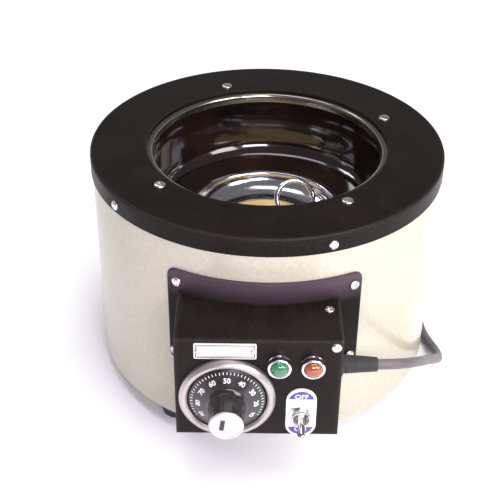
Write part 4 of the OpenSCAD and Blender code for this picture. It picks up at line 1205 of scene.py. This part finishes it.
class TUMBLER_OT_bowl(Operator):
    """Build the glossy bowl, its polished dish, the amber pad and the lift ring"""
    bl_idname = "tumbler.bowl"
    bl_label = "Build the bowl"

    def execute(self, context):
        settings = context.scene.tumbler_bowl
        rim = high("bowl").z / MM
        ledge = high("clamp_dish").z / MM - 1
        pad = ledge - settings.dish_depth / MM
        dish_low = low("clamp_dish").z / MM
        turned("bowl_liner", soften(
            [(4.3, dish_low - 2.8), (35, dish_low - 2.8)]
            + dip(33.6, ledge, 20.4, ledge - pad + 4, 8, 80, 10)
            + [(56, ledge - 2.8), (66, ledge - 0.8)]
            + dip(66, ledge + 14, 14.8, 14.8, 6, 90, 14)
            + [(82.2, rim - 4.6), (83.2, rim - 4, 0.5), (83.2, rim, 1.2), (80, rim, 1.2)]
            + dip(66, ledge + 14, 12, 12, 90, 8, 18)
            + [(54.2, ledge - 0.2, 0.6)]
            + dip(33.6, ledge, 17.65, ledge - pad + 1.25, 88, 0, 16)
            + [(33, dish_low, 0.4), (4.3, dish_low)], 0.25, 2), "bowl_resin", "bowl_unit",
            ("bowl",), ring=True, turns=256)
        turned("dish_plate", soften(
            [(4.3, dish_low + 1.2), (31.8, dish_low + 1.2)]
            + dip(33.6, ledge, 16.4, ledge - pad, 0, 90, 22)
            + [(50.6, ledge + 1, 0.8), (53.4, ledge + 1, 0.5), (53.4, ledge + 0.08, 0.3),
               (51.4, ledge + 0.08, 0.5)]
            + dip(33.6, ledge, 17.5, ledge - pad + 1.15, 88, 0, 18)
            + [(32.8, dish_low + 0.04), (4.3, dish_low + 0.04)], 0.2, 2), "polished_steel",
            "bowl_unit", ("clamp_dish",), ring=True, turns=256)
        self.pad(pad)
        self.button(pad)
        self.lift_ring(pad, settings.ring_wire / MM)
        return {"FINISHED"}

    def pad(self, pad):
        """A cushion-cast pad with a softly rounded edge and a moulded ring"""
        turned("amber_floor", soften(
            [(0, pad - 1.9), (31.2, pad - 1.9), (32.9, pad - 0.9, 1.2), (31.6, pad - 0.05, 1.2),
             (27, pad - 0.02, 0.6), (26.2, pad - 0.35, 0.4), (25.2, pad - 0.35, 0.4),
             (24.4, pad - 0.02, 0.5), (0, pad - 0.02)], 0.5, 4, loop=False), "amber_resin",
            "bowl_unit", ("floor_pad",))

    def button(self, pad):
        """The turned brass button, its eye and its stop pegs"""
        at = Matrix.Translation((20, 0, 0))
        bm = bmesh.new()
        add_lathe(bm, soften([(0, pad), (7.5, pad, 0.2), (7.3, pad + 0.6, 0.3), (6.7, pad + 1.4, 0.4),
                              (4.6, pad + 1.45, 0.3), (3.8, pad + 1.9, 0.4), (0, pad + 1.9)], 0.2,
                             loop=False), 96, False, at)
        eye = pad + 6
        lug = [(-3.5, pad + 1.2), (3.5, pad + 1.2)]
        lug += [(3.5 * math.cos(math.radians(t)), eye + 3.5 * math.sin(math.radians(t)))
                for t in range(0, 181, 12)]
        hole = [(2.02 * math.cos(TURN * k / 24), eye + 2.02 * math.sin(TURN * k / 24))
                for k in range(24)]
        self.drilled_lug(bm, lug, hole, 1.95)
        for x in (-6, 6):
            add_block(bm, (2, 1.8, 5.6), (20 + x, 3.5, pad + 3.5), 0.3)
        finished("brass_button", bm, "brass", "bowl_unit", ("lift_button",))

    def drilled_lug(self, bm, outline, hole, half):
        """A flat lug across local x with a round hole through it"""
        made = []
        for x in (-half, half):
            outer = [bm.verts.new((20 + x, y, z)) for y, z in outline]
            inner = [bm.verts.new((20 + x, y, z)) for y, z in hole]
            edges = [bm.edges.new((loop[k], loop[(k + 1) % len(loop)]))
                     for loop in (outer, inner) for k in range(len(loop))]
            bmesh.ops.triangle_fill(bm, use_beauty=True, use_dissolve=False, edges=edges)
            made.append((outer, inner))
        for near, far in zip(*made):
            join_rows(bm, [near, far], False)

    def lift_ring(self, pad, wire):
        """A polished wire ring leaning back on the button's pegs"""
        lean = Matrix.Translation((20, 0, pad + 6)) @ Matrix.Rotation(math.radians(-35), 4, "X")
        lean = lean @ Matrix.Translation((0, 0, 12.5)) @ Matrix.Rotation(math.pi / 2, 4, "X")
        section = [(12.5 + wire * math.cos(TURN * k / 28), wire * math.sin(TURN * k / 28))
                   for k in range(28)]
        bm = bmesh.new()
        add_lathe(bm, section, 120, True, lean)
        finished("wire_ring", bm, "chrome", "ring", ("lift_ring",))


# ---- Saddle, control box and nameplate ----

class TUMBLER_OT_box(Operator):
    """Build the curved saddle, the control box, its nameplate and its rivets"""
    bl_idname = "tumbler.box"
    bl_label = "Build the control box"

    def execute(self, context):
        self.saddle()
        self.cover()
        self.tray()
        self.nameplate()
        return {"FINISHED"}

    def saddle(self):
        """A plate rolled to the drum, its corners round and its edges eased"""
        left = (low("saddle_plate").x - AXIS.x) / MM
        right = (high("saddle_plate").x - AXIS.x) / MM
        bottom = low("saddle_plate").z / MM
        top = high("saddle_plate").z / MM
        bm = bmesh.new()
        outline = round_rect(right - left, top - bottom, 6, 10)
        filled = []
        for i, a in enumerate(outline):
            b = outline[(i + 1) % len(outline)]
            count = max(1, int(abs(b[0] - a[0]) / 2.5))
            filled += [(a[0] + (b[0] - a[0]) * k / count, a[1] + (b[1] - a[1]) * k / count)
                       for k in range(count)]
        middle_x = (left + right) / 2
        middle_z = (top + bottom) / 2

        def wrapped(points, r):
            return [Vector((middle_x + x, -math.sqrt(r * r - (middle_x + x) ** 2), middle_z + y))
                    for x, y in points]

        r = SADDLE_R
        edge = inset(filled, 0.45)
        rows = [wrapped(filled, DRUM_R + 0.06), wrapped(filled, r - 0.45),
                wrapped(inset(filled, 0.14), r - 0.13), wrapped(edge, r - 0.01),
                wrapped(inset(edge, 1.4), r)]
        made = [[bm.verts.new(p) for p in row] for row in rows]
        join_rows(bm, made, False)
        self.close_rolled(bm, made[-1])
        self.close_rolled(bm, made[0])
        # The saddle's finish carries a painted reflection: mauve-grey towards its top
        finished("saddle", bm, "powder_painted_reflection", "housing", ("saddle_plate",))

    def close_rolled(self, bm, ring):
        """Closes a rolled plate's face with upright strips, so that it keeps its curve"""
        upper = sorted((v for v in ring if v.co.z > ring_middle(ring)), key=lambda v: v.co.x)
        lower = sorted((v for v in ring if v.co.z <= ring_middle(ring)), key=lambda v: v.co.x)
        i = j = 0
        while i < len(upper) - 1 or j < len(lower) - 1:
            step_up = i < len(upper) - 1 and (j == len(lower) - 1
                                              or upper[i + 1].co.x <= lower[j + 1].co.x)
            if step_up:
                bm.faces.new((upper[i], upper[i + 1], lower[j]))
                i += 1
            else:
                bm.faces.new((upper[i], lower[j], lower[j + 1]))
                j += 1

    def cover(self):
        """One bent sheet: the front panel and the top, its back edge cut to the saddle"""
        left = (low("box_cover").x - AXIS.x) / MM
        right = (high("box_cover").x - AXIS.x) / MM
        bottom = low("box_cover").z / MM
        top = high("box_cover").z / MM
        front = (low("box_cover").y - AXIS.y) / MM
        thick = 1.5
        bm = bmesh.new()
        rows = []
        count = 60
        places = [left, left + 0.12, left + 0.4]
        places += [left + 0.4 + (right - left - 0.8) * k / count for k in range(1, count)]
        places += [right - 0.4, right - 0.12, right]
        for x in places:
            gap = min(x - left, right - x)
            drop = 0.4 - math.sqrt(max(0, 0.16 - (0.4 - min(gap, 0.4)) ** 2))
            back = -math.sqrt((SADDLE_R + 0.06) ** 2 - x * x)
            outer = soften([(front + drop, bottom + 0.1, 0.2), (front + drop, bottom + 2),
                            (front + drop, top - 5.5), (front + drop, top - drop, 2.5 - drop),
                            (front + 5.5, top - drop), (back - 1.5, top - drop),
                            (back, top - drop, 0.3), (back, top - thick + drop, 0.1),
                            (front + thick - drop, top - thick + drop, 1.0),
                            (front + thick - drop, bottom + 0.1, 0.2)], 0.2, 8)
            rows.append([Vector((x, p.x, p.y)) for p in outer])
        add_rows(bm, rows)
        finished("box_cover_sheet", bm, "black_powder", "housing", ("box_cover",))

    def tray(self):
        """Sides and bottom of the box, cut to the saddle behind"""
        left = (low("box_frame").x - AXIS.x) / MM
        right = (high("box_frame").x - AXIS.x) / MM
        bottom = low("box_frame").z / MM
        top = high("box_frame").z / MM
        front = (low("box_frame").y - AXIS.y) / MM
        bm = bmesh.new()
        for side, inner in ((left, left + 1.2), (right, right - 1.2)):
            rows = []
            for x in (side, inner):
                back = -math.sqrt((SADDLE_R + 0.06) ** 2 - x * x)
                rows.append([Vector((x, p.x, p.y)) for p in
                             soften([(front, bottom, 1), (back, bottom, 0.3), (back, top, 0.3),
                                     (front, top, 0.3)], 0.3, 4)])
            add_rows(bm, rows)
        rows = []
        for k in range(41):
            x = left + 1.0 + (right - left - 2.0) * k / 40
            back = -math.sqrt((SADDLE_R + 0.06) ** 2 - x * x)
            rows.append([Vector((x, p.x, p.y)) for p in
                         soften([(front, bottom, 0.4), (back, bottom, 0.3), (back, bottom + 1.2, 0.3),
                                 (front, bottom + 1.2, 0.3)], 0.3, 4)])
        add_rows(bm, rows)
        finished("box_tray", bm, "black_powder", "housing", ("box_frame",))

    def nameplate(self):
        """A blank engraved plate on two domed rivets"""
        at = on_panel("nameplate")
        size = high("nameplate") - low("nameplate")
        w = size.x / MM
        h = size.z / MM
        bm = bmesh.new()
        add_prism(bm, round_rect(w, h, 1.0), 0.02, 0.78, 0.15)
        finished("blank_plate", bm, "brushed_plate", "housing", ("nameplate",), at)
        bm = bmesh.new()
        for gap, wide in ((0.9, 0.45), (1.9, 0.22)):
            outer = round_rect(w - 2 * gap, h - 2 * gap, 0.6)
            inner = inset(outer, wide)
            loops = [[bm.verts.new((p[0], p[1], z)) for p in ring]
                     for ring, z in ((outer, 0.7), (outer, 0.8), (inner, 0.8), (inner, 0.7))]
            join_rows(bm, loops)
        finished("plate_border", bm, "black_print", "housing", (), at)
        bm = bmesh.new()
        for x in (-16, 16):
            add_lathe(bm, soften([(0, 0.7), (1.5, 0.7), (1.5, 0.95), (1.25, 1.35, 0.4),
                                  (0.6, 1.66, 0.5), (0, 1.68)], 0.1, 3, loop=False), 32, False,
                      Matrix.Translation((x, 0, 0)))
        finished("plate_rivets", bm, "nickel", "housing", ("nameplate_rivets",), at)


def ring_middle(ring):
    """Half way up a ring of corners"""
    heights = [v.co.z for v in ring]
    return (min(heights) + max(heights)) / 2


# ---- Dial and knob ----

class TUMBLER_OT_dial(Operator):
    """Build the dial ring, the knob with its figures and ticks, and the metal cap"""
    bl_idname = "tumbler.dial"
    bl_label = "Build the dial"

    def execute(self, context):
        settings = context.scene.tumbler_dial
        at = on_panel("dial_bezel")
        outer = (high("dial_bezel").x - low("dial_bezel").x) / 2 / MM
        inner = outer - 5
        turned("dial_ring", soften([
            (inner, 0), (outer, 0, 0.2), (outer, 2.6, 2.0), (outer - 2.0, 4.6, 2.2),
            (inner + 1.3, 4.6, 1.3), (inner, 3.2, 0.5)], 0.3, 6), "satin_ring", "housing",
            ("dial_bezel",), at, True, 160)
        self.knob(at, inner - 0.7)
        self.scale(at, settings)
        self.cap(at)
        bm = bmesh.new()
        add_nut(bm, 14, 5.1, 0, 2.45)
        finished("dial_nut", bm, "chrome", "housing", (), at, 30)
        return {"FINISHED"}

    def knob(self, at, skirt):
        """A skirted knob with a finely fluted grip"""
        top = (low("dial_bezel").y - low("knob_cap").y) / MM + DIAL_RING_H - 1.7

        def flutes(angle, z):
            depth = 0.012 * min(1, max(0, (z - 9.6) / 1.2)) * min(1, max(0, (top - 0.5 - z) / 1.0))
            return 1 - depth * (0.5 + 0.5 * math.cos(28 * angle)) ** 1.5

        outline = soften([(3.05, 7), (9.6, 7), (9.6, 1.6), (skirt, 1.6, 0.3), (skirt, 3, 0.8),
                          (12.4, 8.1, 1.6), (11.2, 9.5, 1.0)], 0.3, 6, loop=False)
        outline += [(11 - 0.09 * k, 9.9 + k * (top - 11.2) / 10) for k in range(11)]
        outline += [(10.05, top - 0.55), (9.9, top - 0.25), (9.6, top - 0.02), (3.05, top - 0.02)]
        bm = bmesh.new()
        add_lathe(bm, outline, 336, True, wave=flutes)
        finished("dial_knob", bm, "knob_resin", "knob", ("control_knob",), at)

    def scale(self, at, settings):
        """Raised figures and ticks on the knob's sloping skirt"""
        slope = math.atan2(8.1 - 3.0, 22.8 - 12.4)
        count = settings.figures
        size = settings.figure_size / MM
        first = math.radians(90) + settings.sweep / 2
        gap = settings.sweep / (count - 1)
        bm = bmesh.new()
        reach = 16.9
        lift = 3.0 + (22.8 - reach) * math.tan(slope) + 0.12
        for k in range(count):
            angle = first - k * gap
            spot = Matrix.Rotation(angle - math.pi / 2, 4, "Z") @ Matrix.Translation((0, reach, lift))
            spot = spot @ Matrix.Rotation(-slope, 4, "X")
            add_words(bm, str(90 - 10 * k), size, 0.16, spot)
        finished("dial_figures", bm, "white_print", "knob", (), at, 30)
        ticks = (count - 1) * settings.ticks_between
        reach = 20.9
        lift = 3.0 + (22.8 - reach) * math.tan(slope) + 0.08
        mesh = grown("Ticks", {
            "Count": ticks + 1, "First": first, "Step": -gap / settings.ticks_between,
            "Radius": reach * MM, "Height": lift * MM, "Slope": slope,
            "Size": (1.5 * MM, 0.36 * MM, 0.14 * MM), "Finish": finish_named("white_print")})
        mesh.transform(at)
        show("dial_ticks", mesh, "white_print", "knob")

    def cap(self, at):
        """A dished metal cap with a black pointer bar"""
        bottom = (low("dial_bezel").y - high("knob_cap").y) / MM + DIAL_RING_H
        top = (low("dial_bezel").y - low("knob_cap").y) / MM + DIAL_RING_H
        turned("knob_disc", soften([
            (0, bottom + 0.02), (10, bottom + 0.02, 0.2), (10.15, bottom + 0.6, 0.3),
            (9.8, top - 0.25, 0.5), (8.9, top - 0.05, 0.3), (8.5, top - 0.4, 0.3), (0, top - 0.25)],
            0.3, 5, loop=False), "cap_metal", "knob", ("knob_cap",), at)
        bm = bmesh.new()
        add_block(bm, (2.6, 7.4, 0.34), (-2.4, 0.6, top - 0.24), 0.1, Matrix.Rotation(-0.14, 4, "Z"))
        finished("cap_pointer", bm, "black_print", "knob", (), at)


# ---- Pilot lamps ----

class TUMBLER_OT_lamps(Operator):
    """Build the two pilot lamps with their bright rings and faceted lenses"""
    bl_idname = "tumbler.lamps"
    bl_label = "Build the lamps"

    def execute(self, context):
        bm = bmesh.new()
        for node in ("green_lens", "orange_lens"):
            at = on_panel(node)
            part = bmesh.new()
            add_lathe(part, soften([
                (5.32, 0), (7.25, 0, 0.1), (7.25, 1.5, 0.5), (6.9, 2.2, 0.3), (7.0, 5.2, 0.7),
                (6.4, 5.7, 0.5), (5.32, 5.55, 0.3)], 0.2, 5), 96, True)
            bmesh.ops.transform(part, matrix=at @ Matrix.Scale(MM, 4), verts=part.verts)
            mesh = bpy.data.meshes.new("ring")
            part.to_mesh(mesh)
            part.free()
            bm.from_mesh(mesh)
            bpy.data.meshes.remove(mesh)
            lens = soften([(0, 1), (5.18, 1, 0.1), (5.18, 5.7, 0.3)], 0.1, 3, loop=False)
            lens += [(5.18 * math.cos(math.radians(t)), 6 + 3 * math.sin(math.radians(t)))
                     for t in range(4, 90, 6)] + [(0, 9)]

            def facets(angle, z):
                return 1 - 0.03 * (0.5 + 0.5 * math.cos(12 * angle)) * min(1, max(0, z - 4.5))

            cap = bmesh.new()
            add_lathe(cap, lens, 96, wave=facets)
            finished(node + "_dome", cap, node, "housing", (node,), at)
        bmesh.ops.recalc_face_normals(bm, faces=bm.faces)
        mesh = bpy.data.meshes.new("lamp_rings")
        bm.to_mesh(mesh)
        bm.free()
        show("lamp_rings", mesh, "chrome", "housing", ("lamp_bezels",))
        return {"FINISHED"}


# ---- Switch ----

class TUMBLER_OT_switch(Operator):
    """Build the switch's lettered plate, its nut and bushing, and the bat lever"""
    bl_idname = "tumbler.switch"
    bl_label = "Build the switch"

    def execute(self, context):
        at = on_panel("toggle_plate")
        self.plate(at)
        bm = bmesh.new()
        add_nut(bm, 14, 5.85, 1.22, 3.7, Matrix.Rotation(math.radians(12), 4, "Z"))
        finished("switch_nut", bm, "chrome", "housing", ("panel_nuts",), at, 30)
        turned("switch_bushing", soften([
            (5.5, 3.6), (5.8, 3.75, 0.1), (5.8, 6.7, 0.2), (5.5, 7.05, 0.2), (4.95, 7.05, 0.1),
            (3.04, 1.65, 0.1), (3.04, 0.5)], 0.1, 3), "nickel", "housing", (), at,
            True, 96)
        self.lever(at)
        return {"FINISHED"}

    def plate(self, at):
        """A white racetrack plate with coloured end fields, a thin border and its two words"""
        bm = bmesh.new()
        outer = round_rect(18, 37, 8.99, 16)
        rows = [[Vector((*p, z)) for p in (inset(outer, d) if d else outer)]
                for z, d in ((0.02, 0), (1.05, 0), (1.18, 0.08), (1.2, 0.3))]
        hole = [Vector((5.86 * math.cos(t), 5.86 * math.sin(t), 0)) for t in
                [math.atan2(p[1], p[0]) for p in outer]]
        rows.append([p + Vector((0, 0, 1.2)) for p in hole])
        rows.append([p + Vector((0, 0, 0.02)) for p in hole])
        made = [[bm.verts.new(p) for p in row] for row in rows]
        join_rows(bm, made)
        finished("switch_plate", bm, "white_print", "housing", ("toggle_plate",), at)
        bm = bmesh.new()
        for side in (1, -1):
            field = [(7.6 * math.cos(math.radians(t)), side * (9.3 + 7.6 * math.sin(math.radians(t))))
                     for t in range(12, 169, 6)]
            if side < 0:
                field.reverse()
            add_prism(bm, field, 1.18, 1.26, 0.02)
        finished("switch_fields", bm, "blue_print", "housing", (), at, 30)
        bm = bmesh.new()
        add_words(bm, "OFF", 4.6, 0.1, Matrix.Translation((0, 12.7, 1.3)))
        add_words(bm, "ON", 4.6, 0.1, Matrix.Translation((0, -12.7, 1.3)))
        finished("switch_words", bm, "white_print", "housing", (), at, 30)

    def lever(self, at):
        """A bat lever on its pin, its tail inside the bushing"""
        tilt = at @ Matrix.Translation((0, 0, 1.6 * MM)) @ Matrix.Rotation(math.radians(23), 4, "X")
        bm = bmesh.new()
        outline = [(0, -4), (1.1, -4), (1.2, -3.8), (1.2, -2.6)]
        outline += [(2.9 * math.cos(math.radians(t)), 2.9 * math.sin(math.radians(t)))
                    for t in range(-60, 58, 8)]
        outline += [(1.62, 3.2), (1.9, 7), (2.3, 10.8), (2.52, 13), (2.58, 14.4), (2.4, 15.4),
                    (1.9, 16.2), (1.1, 16.6), (0, 16.7)]
        add_lathe(bm, outline, 64)
        finished("bat_lever", bm, "chrome", "lever", ("toggle_lever",), tilt)


# ---- Finishes for the works inside ----

class TUMBLER_OT_works(Operator):
    """Wind the four springs, and give the base, the motor and the wiring their finishes"""
    bl_idname = "tumbler.works"
    bl_label = "Finish the works"

    def execute(self, context):
        for finish, nodes in CARRIED.items():
            for node in nodes:
                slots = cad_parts[node].material_slots
                for slot in slots:
                    slot.material = finish_named(finish)
        foot = low("springs").z
        head = high("springs").z
        wire = 1.07
        spots = [round_drum(a, SPRING_RING_R, foot / MM + wire + 0.03)[0] for a in SPRING_ANGLES]
        mesh = grown("Springs", {"Turns": 5.0, "Radius": 7.9 * MM, "Wire": wire * MM,
                                 "Height": head - foot - 2 * (wire + 0.03) * MM,
                                 "Finish": finish_named("spring_wire")}, spots)
        across = ("housing", "bowl_unit", (AXIS.x, AXIS.y, foot), (AXIS.x, AXIS.y, head))
        show("helical_springs", mesh, "spring_wire", across, ("springs",), 60)
        return {"FINISHED"}


# ---- The panel and the run ----

STEPS = ("stage", "lead", "drum", "bowl", "box", "dial", "lamps", "switch", "screws", "works")


class TUMBLER_PT_steps(Panel):
    """Lists the steps and their sizes in the sidebar"""
    bl_label = "Tumbler"
    bl_idname = "TUMBLER_PT_steps"
    bl_space_type = "VIEW_3D"
    bl_region_type = "UI"
    bl_category = "Tumbler"

    def draw(self, context):
        scene = context.scene
        for group in (scene.tumbler_bowl, scene.tumbler_dial, scene.tumbler_lead, scene.tumbler_stage):
            box = self.layout.box()
            for name in group.bl_rna.properties.keys():
                if name not in ("rna_type", "name"):
                    box.prop(group, name)
        for step in STEPS:
            self.layout.operator("tumbler." + step)


CLASSES = (
    TumblerBowlSettings, TumblerDialSettings, TumblerLeadSettings, TumblerStageSettings,
    TUMBLER_OT_stage, TUMBLER_OT_lead, TUMBLER_OT_drum, TUMBLER_OT_bowl, TUMBLER_OT_box,
    TUMBLER_OT_dial, TUMBLER_OT_lamps, TUMBLER_OT_switch, TUMBLER_OT_screws, TUMBLER_OT_works,
    TUMBLER_PT_steps)


SETTINGS = {"tumbler_bowl": TumblerBowlSettings, "tumbler_dial": TumblerDialSettings,
            "tumbler_lead": TumblerLeadSettings, "tumbler_stage": TumblerStageSettings}


def register():
    for made in CLASSES:
        bpy.utils.register_class(made)
    for name, kind in SETTINGS.items():
        setattr(bpy.types.Scene, name, PointerProperty(type=kind))


def unregister():
    for name in SETTINGS:
        delattr(bpy.types.Scene, name)
    for made in reversed(CLASSES):
        bpy.utils.unregister_class(made)


def main():
    register()
    for step in STEPS:
        getattr(bpy.ops.tumbler, step)()


if __name__ == "__main__":
    main()
